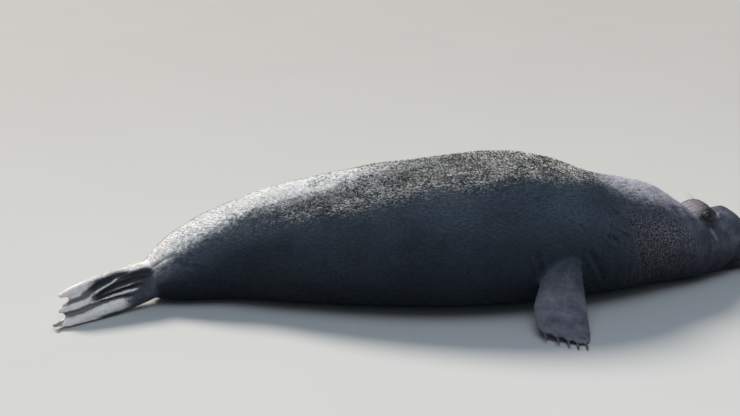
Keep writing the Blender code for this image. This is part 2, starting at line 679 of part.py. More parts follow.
def hind_flipper_place(side):
    """Placing function of one hind flipper: v is -1 at the lower edge, 1 at the upper."""
    ankle = SPINE.bend_point((ANKLE_S, 0.0, 0.0))
    back = Vector((-math.cos(HIND_HEADING), -math.sin(HIND_HEADING), 0.0))
    away = Vector((-math.sin(HIND_HEADING), math.cos(HIND_HEADING), 0.0))

    def place(t, v, face):
        along = t * hind_reach(v)
        share = along / HIND_LOWER_LENGTH
        half = float(curve_through(HIND_HALF_SPAN, share))
        lean = math.radians(float(curve_through(HIND_LEAN, share)))
        curl = math.radians(float(curve_through(HIND_CURL, share)))
        if side > 0 and v < 0:
            turned = lean
            sideways = v * half * LEFT_LOWER_SPAN * math.sin(lean)
            rise = v * half * LEFT_LOWER_SPAN * math.cos(lean)
        else:
            turned = lean - curl * v
            sideways = half * (math.cos(turned) - math.cos(lean)) / curl
            rise = half * (math.sin(lean) - math.sin(turned)) / curl
        outwards = (away * -math.cos(turned) + Vector((0, 0, math.sin(turned)))) * -side
        point = ankle + back * along + away * sideways
        point.z += float(curve_through(HIND_HEIGHT, share)) + rise
        thickness = float(curve_through(HIND_THICKNESS, share))
        sole = HIND_SOLE_GAP / 2
        if face > 0:
            rounding = thinning(v, HIND_EDGE_THINNING) * thinning(t, HIND_TIP_THINNING)
            ridge = 1 + HIND_RIDGE * (hind_ridge(v) - 0.5) * min(1.0, 2.0 * share)
            sole += thickness * rounding * ridge
        point += outwards * sole
        point.z = max(point.z, 0.0)
        return point

    return place


def build_flippers(parts, cutters, body):
    """Both fore flippers and both hind flippers, cut clear of the body at their roots."""
    made = {}
    for side, label in ((-1, "right"), (1, "left")):
        fore = plate("fore_flipper_" + label, FORE_ROWS, FORE_COLUMNS,
                     fore_flipper_place(side), "flipper_hide", parts)
        room = swollen(body["chest"], "chest_room_" + label, CUT_CLEARANCE, cutters)
        combine(fore, room, "DIFFERENCE")
        hind = plate("hind_flipper_" + label, HIND_ROWS, HIND_COLUMNS,
                     hind_flipper_place(side), "flipper_hide", parts)
        rump_room = swollen(body["rump"], "rump_room_" + label, CUT_CLEARANCE, cutters)
        combine(hind, rump_room, "DIFFERENCE")
        tail_room = swollen(body["tail"], "tail_room_" + label, CUT_CLEARANCE, cutters)
        combine(hind, tail_room, "DIFFERENCE")
        made[label] = {"fore": fore, "hind": hind}
    return made


def build_claws(parts, cutters, flippers):
    """Five claws on the end of each fore flipper, numbered from the front edge."""
    for side, label in ((-1, "right"), (1, "left")):
        place = fore_flipper_place(side)
        for number in range(1, DIGITS + 1):
            v = 1 - (2 * number - 1) / DIGITS
            top, low = place(1.0, v, 1), place(1.0, v, -1)
            before = place(0.90, v, 1)
            ahead = (top - before)
            ahead.z = min(ahead.z, 0.0)
            ahead.normalize()
            root = (top + low) / 2 - ahead * CLAW_ROOT_DEPTH
            name = "claw_%s_%d" % (label, number)
            claw = horn(name, root, ahead, parts)
            room = swollen(flippers[label]["fore"], "fore_room_%s_%d" % (label, number),
                           CUT_CLEARANCE, cutters)
            combine(claw, room, "DIFFERENCE")


def horn(name, root, ahead, parts):
    """Tapered claw that droops towards its tip and stays above the floor."""
    across = ahead.cross(Vector((0, 0, 1))).normalized()
    up = across.cross(ahead).normalized()
    mesh = bpy.data.meshes.new(name)
    form = bmesh.new()
    loops = []
    for i in range(CLAW_RINGS):
        t = i / (CLAW_RINGS - 1)
        radius = CLAW_RADIUS * (1 - 0.9 * t**1.6)
        centre = root + ahead * (CLAW_LENGTH * t) - up * (CLAW_DROOP * t * t)
        centre.z = max(centre.z, radius + 0.001)
        loop = []
        for k in range(CLAW_POINTS):
            angle = 2 * math.pi * k / CLAW_POINTS
            spoke = across * math.cos(angle) + up * (0.85 * math.sin(angle))
            loop.append(form.verts.new(centre + spoke * radius))
        loops.append(loop)
    for near, far in zip(loops, loops[1:]):
        for i in range(CLAW_POINTS):
            j = (i + 1) % CLAW_POINTS
            form.faces.new((near[i], near[j], far[j], far[i]))
    form.faces.new(loops[0])
    form.faces.new(loops[-1])
    face_outwards(form)
    form.to_mesh(mesh)
    form.free()
    return object_from(mesh, name, "claw_horn", parts)


def centre_origin(parts):
    """Move every piece so that the origin lies under the middle of the whole animal."""
    corners = np.array([
        tuple(vert.co) for made in parts.objects for vert in made.data.vertices
    ])
    low, high = corners.min(axis=0), corners.max(axis=0)
    shift = Vector((-(low[0] + high[0]) / 2, -(low[1] + high[1]) / 2, -low[2]))
    for made in parts.objects:
        made.data.transform(Matrix.Translation(shift))


def main():
    for old in list(bpy.data.objects):
        bpy.data.objects.remove(old)
    parts = bpy.data.collections.new(COLLECTION_NAME)
    cutters = bpy.data.collections.new("cutters")
    bpy.context.scene.collection.children.link(parts)
    bpy.context.scene.collection.children.link(cutters)
    body = build_body(parts)
    body.update(build_head(parts, cutters))
    body["tail"] = build_tail(parts, cutters, body)
    flippers = build_flippers(parts, cutters, body)
    build_claws(parts, cutters, flippers)
    for tool in cutters.objects:
        tool.hide_render = True
        tool.display_type = "WIRE"
    centre_origin(parts)


main()
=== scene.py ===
"""Skin, coat, eyes, lids, claws and whiskers of the resting elephant seal bull.

Laid out as an add-on and run as a script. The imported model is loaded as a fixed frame,
every size and place is read from it or named below, and each operator makes one piece or
one group of like pieces. Straight frame: s runs along the spine from the rump to the
nose, side is positive to the seal's left, z is height. Metres.
"""
import math

import bmesh
import bpy
import numpy as np
from bpy.props import FloatProperty, FloatVectorProperty, IntProperty, PointerProperty
from mathutils import Euler, Matrix, Vector, noise
from mathutils.bvhtree import BVHTree


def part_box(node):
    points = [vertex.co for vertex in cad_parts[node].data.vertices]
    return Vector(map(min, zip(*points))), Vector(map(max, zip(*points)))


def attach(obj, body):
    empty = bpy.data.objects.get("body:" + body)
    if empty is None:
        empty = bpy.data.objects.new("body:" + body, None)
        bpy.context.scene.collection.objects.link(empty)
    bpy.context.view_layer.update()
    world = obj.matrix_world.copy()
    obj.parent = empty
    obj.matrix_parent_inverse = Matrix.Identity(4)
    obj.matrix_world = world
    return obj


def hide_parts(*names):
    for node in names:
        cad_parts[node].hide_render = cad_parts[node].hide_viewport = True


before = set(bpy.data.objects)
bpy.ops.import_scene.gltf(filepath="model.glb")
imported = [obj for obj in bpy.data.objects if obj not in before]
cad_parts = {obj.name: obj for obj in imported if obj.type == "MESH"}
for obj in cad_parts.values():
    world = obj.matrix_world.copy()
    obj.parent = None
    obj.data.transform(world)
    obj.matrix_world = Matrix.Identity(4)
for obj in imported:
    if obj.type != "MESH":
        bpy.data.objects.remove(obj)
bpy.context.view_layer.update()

bl_info = {
    "name": "Elephant Seal Dressing",
    "version": (1, 0, 0),
    "blender": (4, 5, 0),
    "location": "3D Viewport > Sidebar > Seal",
    "description": "Skin, coat, eyes, claws and whiskers for the resting elephant seal",
    "category": "Object",
}

BODY = "root"
SIDES = (("right", -1), ("left", 1))
TRUNK = ("rump", "abdomen", "chest", "neck", "head", "proboscis", "lower_jaw", "tail")
FORE = ("fore_flipper_right", "fore_flipper_left")
HIND = ("hind_flipper_right", "hind_flipper_left")
FLESH = TRUNK + FORE + HIND
EYES = ("eye_right", "eye_left")
# Paired nodes, with -1 for the right one and 1 for the left one
EYE_SIDES = tuple(zip(EYES, (-1, 1)))
FORE_SIDES = tuple(zip(FORE, (-1, 1)))
HIND_SIDES = tuple(zip(HIND, (-1, 1)))
LIMB_SIDES = HIND_SIDES + FORE_SIDES

# Plan curve of the spine: where s is 0, the stretch of s that it covers and how many
# places it is worked out at, and its heading in degrees from +X at places along it
SPINE_START = (-1.65595, -0.31568)
SPINE_REACH = (-0.8, 4.2)
SPINE_PLACES = 1001
SPINE_HEADINGS = [
    (0.00, 34.0), (0.35, 23.0), (0.80, -3.0), (1.50, 0.0), (2.10, 14.0),
    (2.60, 16.5), (3.10, 12.0), (3.50, 17.0), (4.10, 21.0),
]
# Height of the back at places along the spine
BACK_HEIGHTS = [(0.0, 0.225), (0.25, 0.41), (0.75, 0.61), (1.6, 0.783), (2.05, 0.81),
                (2.75, 0.64), (3.22, 0.48), (3.45, 0.40), (3.67, 0.30), (3.95, 0.08)]
# Shares of that height: the line that angles are measured from, and the trunk's radius
MIDDLE_SHARE = 0.42
RADIUS_SHARE = 0.62
LEAST_RADIUS = 0.05

# Where the parts of the body lie along the spine
RUMP_S = 0.62
WAIST_S = 1.45
SHOULDER_S = 2.15
NECK_S = 2.76
NAPE_S = 3.318
NOSE_S = 3.56

# Skin's mesh: distance at which corners of CAD triangles are one, size of a voxel,
# triangles kept, and the length of edges on each part
WELD = 0.00002
VOXEL = 0.0065
SKIN_TRIANGLES = 136000
EDGE_BODY = 0.0200
EDGE_NECK = 0.0085
EDGE_HEAD = 0.0062
EDGE_LIMB = 0.0095
EDGE_FACE = 0.0046
# Length of edges where folds, lips, eyes, nostrils, ears and lid margins are cut in
EDGE_FOLDS = 0.0052
EDGE_LIPS = 0.0036
EDGE_EYE = 0.0030
EDGE_HOLE = 0.0028
EDGE_LID = 0.0018

# Eyes: outward axis in the straight frame, half sizes of the opening and its slant
EYE_AXIS = (0.32, 0.82, 0.42)
LID_HALF_LENGTH = 0.0305
LID_UPPER = 0.0245
LID_LOWER = 0.0205
LID_SLANT = math.radians(-14.0)
# Skin round an eye: measure outwards from its middle, where 1 is the lid margin, and
# distance from its middle in radii of the eyeball
LID_PROFILE = [(0.0, 0.78), (0.90, 0.80), (1.0, 1.01), (1.10, 1.115), (1.22, 1.135),
               (1.42, 1.11)]
# Eyeball: its share of the CAD ball, and the cornea's rise and spread over it
BALL_SHARE = 0.992
CORNEA_RISE = 0.030
CORNEA_SPREAD = 0.55
# Angles from the eye's axis between which the pupil and the iris end
PUPIL_END = (0.30, 0.36)
IRIS_END = (0.52, 0.62)

# Nostrils: place, half height and half width, depth of the pit and height of its rim
NOSTRIL_PLACE = (3.908, 0.046, 0.070)
NOSTRIL_AXES = (0.016, 0.010)
NOSTRIL_DEPTH = 0.026
NOSTRIL_RIM = 0.0035
EAR_PLACE = (3.352, 0.241, 0.270)

# Flippers: way they point, and place where they leave the trunk
HIND_HEADING = math.radians(38.0)
HIND_ROOT = (0.07, 0.02, 0.15)
FORE_SWEEP = math.radians(17.0)
FORE_ROOT = (2.31, 0.50, 0.33)
# Distance from the spine past which the coat of a fore flipper is its own piece
FORE_COAT_SIDE = 0.52


def curve_through(knots, at):
    """Smooth steps through (place, value) knots, without overshoot between them."""
    x = np.array([k[0] for k in knots], float)
    y = np.array([k[1] for k in knots], float)
    width = np.diff(x)
    slope = np.diff(y) / width
    tangent = np.zeros_like(y)
    tangent[0], tangent[-1] = slope[0], slope[-1]
    for i in range(1, len(x) - 1):
        if slope[i - 1] * slope[i] > 0:
            a = 2 * width[i] + width[i - 1]
            b = width[i] + 2 * width[i - 1]
            tangent[i] = (a + b) / (a / slope[i - 1] + b / slope[i])
    at = np.clip(np.asarray(at, float), x[0], x[-1])
    i = np.clip(np.searchsorted(x, at, side="right") - 1, 0, len(width) - 1)
    t = (at - x[i]) / width[i]
    return ((2 * t**3 - 3 * t**2 + 1) * y[i] + (t**3 - 2 * t**2 + t) * width[i] * tangent[i]
            + (3 * t**2 - 2 * t**3) * y[i + 1] + (t**3 - t**2) * width[i] * tangent[i + 1])


def smooth_step(low, high, values):
    t = np.clip((values - low) / (high - low), 0.0, 1.0)
    return t * t * (3 - 2 * t)


def bell(values, centre, half):
    return np.exp(-(((values - centre) / half) ** 2))


class Spine:
    """The plan curve of the body, and the way between it and the straight frame."""

    def __init__(self):
        self.s = np.linspace(*SPINE_REACH, SPINE_PLACES)
        self.angle = np.radians(curve_through(SPINE_HEADINGS, self.s))
        step = self.s[1] - self.s[0]
        middle = (self.angle[1:] + self.angle[:-1]) / 2
        self.x = np.concatenate([[0.0], np.cumsum(np.cos(middle) * step)])
        self.y = np.concatenate([[0.0], np.cumsum(np.sin(middle) * step)])
        self.x += SPINE_START[0] - np.interp(0.0, self.s, self.x)
        self.y += SPINE_START[1] - np.interp(0.0, self.s, self.y)

    def straighten(self, points):
        """Row-frame points as their s, side and z."""
        s = np.interp(points[:, 0], self.x, self.s)
        for _ in range(8):
            angle = np.interp(s, self.s, self.angle)
            east = points[:, 0] - np.interp(s, self.s, self.x)
            north = points[:, 1] - np.interp(s, self.s, self.y)
            s = s + east * np.cos(angle) + north * np.sin(angle)
        side = north * np.cos(angle) - east * np.sin(angle)
        return s, side, points[:, 2]

    def bend(self, s, side, z):
        """One straight-frame point in the row frame."""
        angle = self.heading(s)
        return Vector((
            float(np.interp(s, self.s, self.x)) - math.sin(angle) * side,
            float(np.interp(s, self.s, self.y)) + math.cos(angle) * side,
            z,
        ))

    def heading(self, s):
        return float(np.interp(s, self.s, self.angle))

    def direction(self, s, along, side, up):
        """A straight-frame direction at s, in the row frame."""
        turn = Matrix.Rotation(self.heading(s), 3, "Z")
        return (turn @ Vector((along, side, up))).normalized()


SPINE = Spine()


def on_side(place, sign):
    """A place given as (s, side, z) for the left side, on either side in the row frame."""
    s, side, z = place
    return SPINE.bend(s, sign * side, z)


def distance_to(points, place):
    return np.linalg.norm(points - np.array(place), axis=1)


def read_array(items, key, width, kind=np.float32):
    """One property of all the items of a mesh, with a row for each."""
    flat = np.empty(len(items) * width, kind)
    items.foreach_get(key, flat)
    return flat.reshape(-1, width)


def read_points(mesh):
    return read_array(mesh.vertices, "co", 3).astype(float)


def write_points(mesh, points):
    mesh.vertices.foreach_set("co", points.astype(np.float32).ravel())
    mesh.update()


def read_normals(mesh):
    return read_array(mesh.vertex_normals, "vector", 3).astype(float)


def read_edges(mesh):
    return read_array(mesh.edges, "vertices", 2, np.int32)


def read_triangles(mesh):
    return read_array(mesh.polygons, "vertices", 3, np.int32)


def store(mesh, name, values):
    """Keep one number or vector for each vertex as a named attribute."""
    values = np.asarray(values, np.float32)
    kind, key = ("FLOAT", "value") if values.ndim == 1 else ("FLOAT_VECTOR", "vector")
    attribute = mesh.attributes.get(name) or mesh.attributes.new(name, kind, "POINT")
    attribute.data.foreach_set(key, values.ravel())


def soften(values, edges, passes, strength=0.6):
    """Pull each vertex's value towards its neighbours', as many times as it says."""
    values = np.array(values, float)
    flat = values.ndim == 1
    if flat:
        values = values[:, None]
    count = len(values)
    a, b = edges[:, 0], edges[:, 1]
    degree = np.bincount(a, minlength=count) + np.bincount(b, minlength=count)
    degree = np.maximum(degree, 1)[:, None]
    passes = np.broadcast_to(passes, (count,))
    for turn in range(int(passes.max())):
        mean = np.stack([
            np.bincount(a, values[b, c], count) + np.bincount(b, values[a, c], count)
            for c in range(values.shape[1])
        ], axis=1) / degree
        share = np.clip(passes - turn, 0.0, 1.0)[:, None] * strength
        values += (mean - values) * share
    return values[:, 0] if flat else values


def rough(points, scale, seed=0.0):
    """Smooth noise of about -1 to 1 at each point; scale is its waves to a metre."""
    shifted = points * scale + seed * 17.31
    return np.array([noise.noise(Vector(p)) for p in shifted])


def ridged(points, seed, steepness=2.6):
    """Sharp ridges parted by round hollows: 1 along a ridge, and less beside it."""
    return 1 - steepness * np.abs(rough(points, 1.0, seed))


def new_piece(name, mesh, finish=None):
    """Object at the origin for a mesh, shaded smooth."""
    if finish is not None:
        mesh.materials.clear()
        mesh.materials.append(finish)
    mesh.shade_smooth()
    made = bpy.data.objects.new(name, mesh)
    bpy.context.collection.objects.link(made)
    return made


def evaluated_mesh(made):
    """The object's mesh as its modifiers leave it."""
    graph = bpy.context.evaluated_depsgraph_get()
    return bpy.data.meshes.new_from_object(made.evaluated_get(graph))


def mesh_of_nodes(names):
    """Copies of the CAD nodes' surfaces in one mesh, their loose triangles joined up."""
    mesh = bpy.data.meshes.new("copied_nodes")
    form = bmesh.new()
    for name in names:
        form.from_mesh(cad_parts[name].data)
    bmesh.ops.remove_doubles(form, verts=form.verts, dist=WELD)
    form.to_mesh(mesh)
    form.free()
    return mesh


def tree_of_nodes(names):
    """Search tree over the nodes' triangles, and the node that each triangle is of."""
    points, triangles, owner = [], [], []
    for index, name in enumerate(names):
        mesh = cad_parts[name].data
        first = len(points)
        points += [v.co.copy() for v in mesh.vertices]
        triangles += [[first + i for i in p.vertices] for p in mesh.polygons]
        owner += [index] * len(mesh.polygons)
    return BVHTree.FromPolygons(points, triangles), np.array(owner)


def keep_largest(mesh):
    """Drop loose scraps, so that the mesh is one closed surface."""
    form = bmesh.new()
    form.from_mesh(mesh)
    unseen = set(form.verts)
    groups = []
    while unseen:
        stack = [unseen.pop()]
        group = []
        while stack:
            vert = stack.pop()
            group.append(vert)
            for edge in vert.link_edges:
                other = edge.other_vert(vert)
                if other in unseen:
                    unseen.remove(other)
                    stack.append(other)
        groups.append(group)
    groups.sort(key=len)
    for group in groups[:-1]:
        bmesh.ops.delete(form, geom=group, context="VERTS")
    form.to_mesh(mesh)
    form.free()


class BodyMap:
    """Where each vertex of the skin lies on the seal, in the body's own terms."""

    def __init__(self, points, normals, edges):
        self.points = points
        self.normals = normals
        self.s, self.side, self.z = SPINE.straighten(points)
        self.back = curve_through(BACK_HEIGHTS, self.s)
        self.middle = self.back * MIDDLE_SHARE
        # 90 degrees on the crest of the back, 0 at the middle of either flank
        self.climb = np.degrees(np.arctan2(self.z - self.middle, np.abs(self.side)))
        tree, owner = tree_of_nodes(FLESH)
        near = np.array([owner[tree.find_nearest(Vector(p))[2]] for p in points])
        self.part = {name: soften((near == index).astype(float), edges, 4)
                     for index, name in enumerate(FLESH)}
        fore = self.part[FORE[0]] + self.part[FORE[1]]
        self.hind = self.part[HIND[0]] + self.part[HIND[1]]
        self.trunk = 1 - np.clip(fore + self.hind, 0, 1)

    def window(self, start, end, fade):
        """1 between two places along the trunk, fading out over a length."""
        inside = smooth_step(start - fade, start + fade, self.s)
        return inside * (1 - smooth_step(end - fade, end + fade, self.s))


def inside_box(points, name, margin):
    low, high = (np.array(corner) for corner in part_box(name))
    return np.all((points > low - margin) & (points < high + margin), axis=1)


def wanted_edges(points):
    """How long the skin's edges may be at each point, before the features are cut in."""
    s = SPINE.straighten(points)[0]
    want = np.full(len(points), EDGE_BODY)
    want = np.where(s > NECK_S - 0.10, EDGE_NECK, want)
    want = np.where(s > NAPE_S - 0.03, EDGE_HEAD, want)
    want = np.where(s > NOSE_S - 0.17, EDGE_FACE, want)
    for name in FORE + HIND + ("tail",):
        want = np.where(inside_box(points, name, 0.01), EDGE_LIMB, want)
    return want


def base_skin():
    """The flesh nodes and eyes fused into one even surface, its facets smoothed away."""
    made = new_piece("skin_base", mesh_of_nodes(FLESH + EYES))
    fuse = made.modifiers.new("fuse", "REMESH")
    fuse.mode = "VOXEL"
    fuse.voxel_size = VOXEL
    fused = evaluated_mesh(made)
    keep_largest(fused)
    made.modifiers.clear()
    made.data = fused
    points, edges = read_points(fused), read_edges(fused)
    want = wanted_edges(points)
    passes = np.interp(want, [EDGE_FACE, EDGE_HEAD, EDGE_NECK, EDGE_BODY], [9, 12, 26, 70])
    passes = np.where(want == EDGE_LIMB, 9, passes)
    passes = soften(passes, edges, 12)
    points = soften(points, edges, passes)
    write_points(fused, points)
    keep = made.vertex_groups.new(name="keep")
    for length in np.unique(want):
        keep.add(np.nonzero(want == length)[0].tolist(), EDGE_FACE / length, "REPLACE")
    thin = made.modifiers.new("thin", "DECIMATE")
    thin.ratio = SKIN_TRIANGLES / (2 * len(fused.polygons))
    thin.use_collapse_triangulate = True
    thin.vertex_group = keep.name
    thin.invert_vertex_group = True
    thin.vertex_group_factor = 1.0
    mesh = evaluated_mesh(made)
    bpy.data.objects.remove(made)
    return mesh


def lip_line(points, reach=0.030):
    """Signed distance of each point from the line where jaw and snout meet."""
    jaw = tree_of_nodes(("lower_jaw",))[0]
    face = tree_of_nodes(("head", "proboscis"))[0]
    line = np.full(len(points), 1.0)
    s = SPINE.straighten(points)[0]
    for i in np.nonzero(s > NAPE_S + 0.06)[0]:
        place = Vector(points[i])
        to_jaw = jaw.find_nearest(place, 2 * reach)[3]
        to_face = face.find_nearest(place, 2 * reach)[3]
        if to_jaw is not None and to_face is not None:
            line[i] = to_face - to_jaw
    return line


def eye_axes(name, sign):
    """Middle, radius and three axes of an eye: outwards, forwards and upwards."""
    low, high = (np.array(corner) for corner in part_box(name))
    middle = Vector((low + high) / 2)
    s = float(SPINE.straighten(np.array([middle]))[0][0])
    out = SPINE.direction(s, EYE_AXIS[0], sign * EYE_AXIS[1], EYE_AXIS[2])
    forward = SPINE.direction(s, 1.0, 0.0, 0.0)
    forward = (forward - out * forward.dot(out)).normalized()
    up = out.cross(forward) * -sign
    if up.z < 0:
        up = -up
    turned = forward * math.cos(LID_SLANT) + up * math.sin(LID_SLANT)
    up = (up - turned * up.dot(turned)).normalized()
    return middle, float((high - low).min() / 2), out, turned, up


def lid_reach(points, eye):
    """Direction, distance and lid measure of points round an eye: 1 is the lid margin."""
    middle, ball, out, forward, up = eye
    spoke = points - np.array(middle)
    length = np.linalg.norm(spoke, axis=1)
    toward = spoke / np.maximum(length, 1e-6)[:, None]
    u = toward @ np.array(forward) * ball
    v = toward @ np.array(up) * ball
    half_height = np.where(v > 0, LID_UPPER, LID_LOWER)
    measure = np.hypot(u / LID_HALF_LENGTH, v / half_height)
    measure = np.where(toward @ np.array(out) > 0.15, measure, 9.0)
    return toward, length, measure, v


def fine_edges(points):
    """How short the skin's edges must be at eyes, mouth, nostrils, ears and hind folds."""
    want = np.full(len(points), 1.0)
    for name, sign in EYE_SIDES:
        eye = eye_axes(name, sign)
        length = distance_to(points, eye[0])
        measure = lid_reach(points, eye)[2]
        want = np.where((length < 2.2 * eye[1]) & (measure < 2.4), EDGE_EYE, want)
        want = np.where((length < 1.6 * eye[1]) & (measure < 1.5), EDGE_LID, want)
        for hole, reach in ((NOSTRIL_PLACE, 0.045), (EAR_PLACE, 0.022)):
            near = distance_to(points, on_side(hole, sign)) < reach
            want = np.where(near, EDGE_HOLE, want)
    s = SPINE.straighten(points)[0]
    for name in HIND:
        want = np.where(inside_box(points, name, 0.0) & (s < 0.0), EDGE_FOLDS, want)
    lips = np.abs(lip_line(points)) < 0.012
    return np.where(lips, np.minimum(want, EDGE_LIPS), want)


def refine(mesh, rounds=3):
    """Split the skin's edges where a feature needs a finer mesh."""
    for _ in range(rounds):
        points, edges = read_points(mesh), read_edges(mesh)
        want = fine_edges(points)[edges].min(axis=1)
        length = np.linalg.norm(points[edges[:, 0]] - points[edges[:, 1]], axis=1)
        chosen = np.nonzero(length > 1.4 * want)[0]
        if not len(chosen):
            return
        form = bmesh.new()
        form.from_mesh(mesh)
        form.edges.ensure_lookup_table()
        split = [form.edges[i] for i in chosen]
        bmesh.ops.subdivide_edges(form, edges=split, cuts=1, use_grid_fill=True)
        bmesh.ops.triangulate(form, faces=form.faces)
        form.to_mesh(mesh)
        form.free()
        points, edges = read_points(mesh), read_edges(mesh)
        fine = np.where(fine_edges(points) < 1.0, 2.0, 0.0)
        write_points(mesh, soften(points, edges, fine, 0.4))


def cracks(points, choose, scale):
    """Cells parted by narrow grooves: 1 in the middle of a cell and 0 in a groove."""
    field = np.ones(len(points))
    for i in np.nonzero(choose > 0.02)[0]:
        near = noise.voronoi(Vector(points[i] * scale))[0]
        field[i] = min(1.0, (near[1] - near[0]) * 2.2)
    return field


def segment_distance(u, v, start, end):
    """Distance in a plane from points to a straight stretch."""
    run = np.array(end) - np.array(start)
    t = ((u - start[0]) * run[0] + (v - start[1]) * run[1]) / (run @ run)
    t = np.clip(t, 0.0, 1.0)
    return np.hypot(u - start[0] - t * run[0], v - start[1] - t * run[1])


# Creases of the skin: start and end as (s, height angle in degrees), depth, half width;
# a depth below zero raises a fold
CREASES = [
    ((2.633, 24.0), (2.745, 17.5), -0.0070, 0.0085),
    ((2.585, 16.5), (2.650, 13.0), 0.0110, 0.0100),
    ((2.360, 25.0), (2.430, 21.0), 0.0050, 0.0090),
    ((2.670, 34.0), (2.790, 24.0), 0.0070, 0.0130),
    ((2.470, 4.0), (2.550, -10.0), 0.0070, 0.0180),
    ((2.150, 4.0), (2.200, -14.0), 0.0070, 0.0190),
    ((2.820, 8.0), (2.870, -16.0), 0.0060, 0.0150),
    ((0.030, 56.0), (0.150, 66.0), 0.0080, 0.0100),
    ((0.060, 38.0), (0.230, 47.0), 0.0050, 0.0090),
    ((0.160, 30.0), (0.300, 14.0), 0.0040, 0.0140),
    ((0.300, 48.0), (0.430, 41.0), 0.0025, 0.0070),
    ((0.240, -2.0), (0.400, -12.0), 0.0040, 0.0160),
]


def trunk_radius(back):
    """About how far the trunk reaches from its middle where its back is so high."""
    return np.maximum(back * RADIUS_SHARE, LEAST_RADIUS)


def trunk_relief(place):
    """Height of the folds and swellings of the trunk over the smooth skin."""
    points, s, trunk = place.points, place.s, place.trunk
    arc = np.radians(place.climb) * trunk_radius(place.back)
    flat = np.stack([s, arc * np.sign(place.side), np.zeros_like(s)], axis=1)
    free = smooth_step(0.02, 0.16, place.z)
    broad = place.window(0.15, NECK_S, 0.25) * free
    relief = broad * (0.0075 * rough(points, 2.4, 1) + 0.0032 * rough(points, 6.5, 2))
    fine = np.zeros_like(s)
    knots = np.array(BACK_HEIGHTS)
    waver = 1 + 0.35 * rough(points, 22, 3)
    for start, end, depth, half in CREASES:
        radius = np.interp((start[0] + end[0]) / 2, knots[:, 0], trunk_radius(knots[:, 1]))
        away = segment_distance(s, arc, (start[0], math.radians(start[1]) * radius),
                                (end[0], math.radians(end[1]) * radius))
        away = away * waver
        fine -= depth * bell(away, 0, half)
        fine += 0.18 * depth * bell(away, 1.9 * half, half)
    neck = place.window(NECK_S - 0.02, NAPE_S + 0.02, 0.10) * free
    warp = rough(points, 7, 4)
    across = flat * np.array([30.0, 5.5, 1.0]) + np.stack([1.3 * warp, 0 * s, 0 * s], 1)
    slanted = flat * np.array([9.0, 34.0, 1.0]) + np.stack([0 * s, 1.6 * warp, 0 * s], 1)
    upper = smooth_step(18, 42, place.climb)
    fine += neck * (0.0030 * ridged(across, 5) * (1 - 0.5 * upper)
                    + 0.0030 * ridged(slanted, 6) * upper)
    shield = place.window(NECK_S + 0.02, NAPE_S - 0.02, 0.07)
    shield = shield * (1 - smooth_step(22, 48, place.climb)) * free
    cells = cracks(flat * np.array([1.0, 1.35, 1.0]), shield, 38.0)
    fine += shield * 0.0034 * (cells - 0.6)
    return relief * trunk, fine * trunk, shield * trunk, neck * trunk


def head_relief(place, line):
    """Lips, snout wrinkles, whisker pads, brow and ear of the head."""
    s, side, z, points = place.s, np.abs(place.side), place.z, place.points
    head = smooth_step(NAPE_S - 0.01, NAPE_S + 0.05, s)
    fine = np.zeros_like(s)
    lips = smooth_step(3.42, 3.47, s)
    fine -= 0.011 * bell(line, 0.0, 0.0042) * lips
    fine += 0.004 * bell(np.abs(line), 0.014, 0.008) * lips
    nose = smooth_step(NOSE_S - 0.02, NOSE_S + 0.06, s) * (1 - smooth_step(3.88, 3.94, s))
    warp = rough(points, 16, 7)
    bands = np.stack([s * 44 + 1.5 * warp, side * 9, z * 9], axis=1)
    upper = smooth_step(-12, 25, place.climb)
    fine += nose * upper * 0.0030 * ridged(bands, 8)
    cheek = head * (1 - nose)
    patch = np.stack([s * 26 + warp, side * 20, z * 30 + 1.5 * warp], axis=1)
    fine += cheek * 0.0013 * ridged(patch, 9, 2.4)
    fine += head * 0.0011 * rough(points, 70, 10)
    for row, _, pad_s, pad_z in whisker_places():
        away = np.hypot(s - pad_s, z - pad_z)
        size = 0.0055 - 0.0004 * row
        fine += nose * np.where(side > 0.05, 1.0, 0.0) * (
            0.0030 * bell(away, 0, size) - 0.0026 * bell(away, 0, 0.35 * size))
    for place_s, place_side in BROW_WHISKERS:
        away = np.hypot(s - place_s, side - place_side)
        fine += 0.0022 * bell(away, 0, 0.006) * np.where(z > 0.30, 1.0, 0.0)
    away = np.sqrt((s - EAR_PLACE[0])**2 + (side - EAR_PLACE[1])**2 + (z - EAR_PLACE[2])**2)
    fine += 0.0035 * bell(away, 0.011, 0.005) - 0.010 * bell(away, 0.0, 0.006)
    return fine * head


# Folds along a hind flipper: (metres from the ankle, share of its height) of each point,
# rise over the skin, half width
HIND_FOLDS = [
    ([(0.06, 0.84), (0.13, 0.86), (0.27, 0.90), (0.385, 0.82), (0.45, 0.69)], -0.016, 0.013),
    ([(0.14, 0.93), (0.256, 0.86), (0.33, 0.74), (0.414, 0.64)], 0.011, 0.007),
    ([(0.10, 0.76), (0.172, 0.76), (0.30, 0.69), (0.40, 0.57)], -0.015, 0.010),
    ([(0.17, 0.67), (0.28, 0.61), (0.36, 0.57)], 0.006, 0.006),
    ([(0.15, 0.60), (0.194, 0.59), (0.30, 0.55), (0.40, 0.50)], -0.013, 0.008),
    ([(0.172, 0.52), (0.296, 0.50), (0.402, 0.445)], 0.012, 0.010),
    ([(0.22, 0.41), (0.307, 0.42), (0.38, 0.41)], -0.010, 0.008),
    ([(0.43, 0.65), (0.50, 0.63), (0.64, 0.62)], -0.013, 0.008),
    ([(0.36, 0.42), (0.48, 0.36), (0.66, 0.31)], -0.014, 0.009),
]


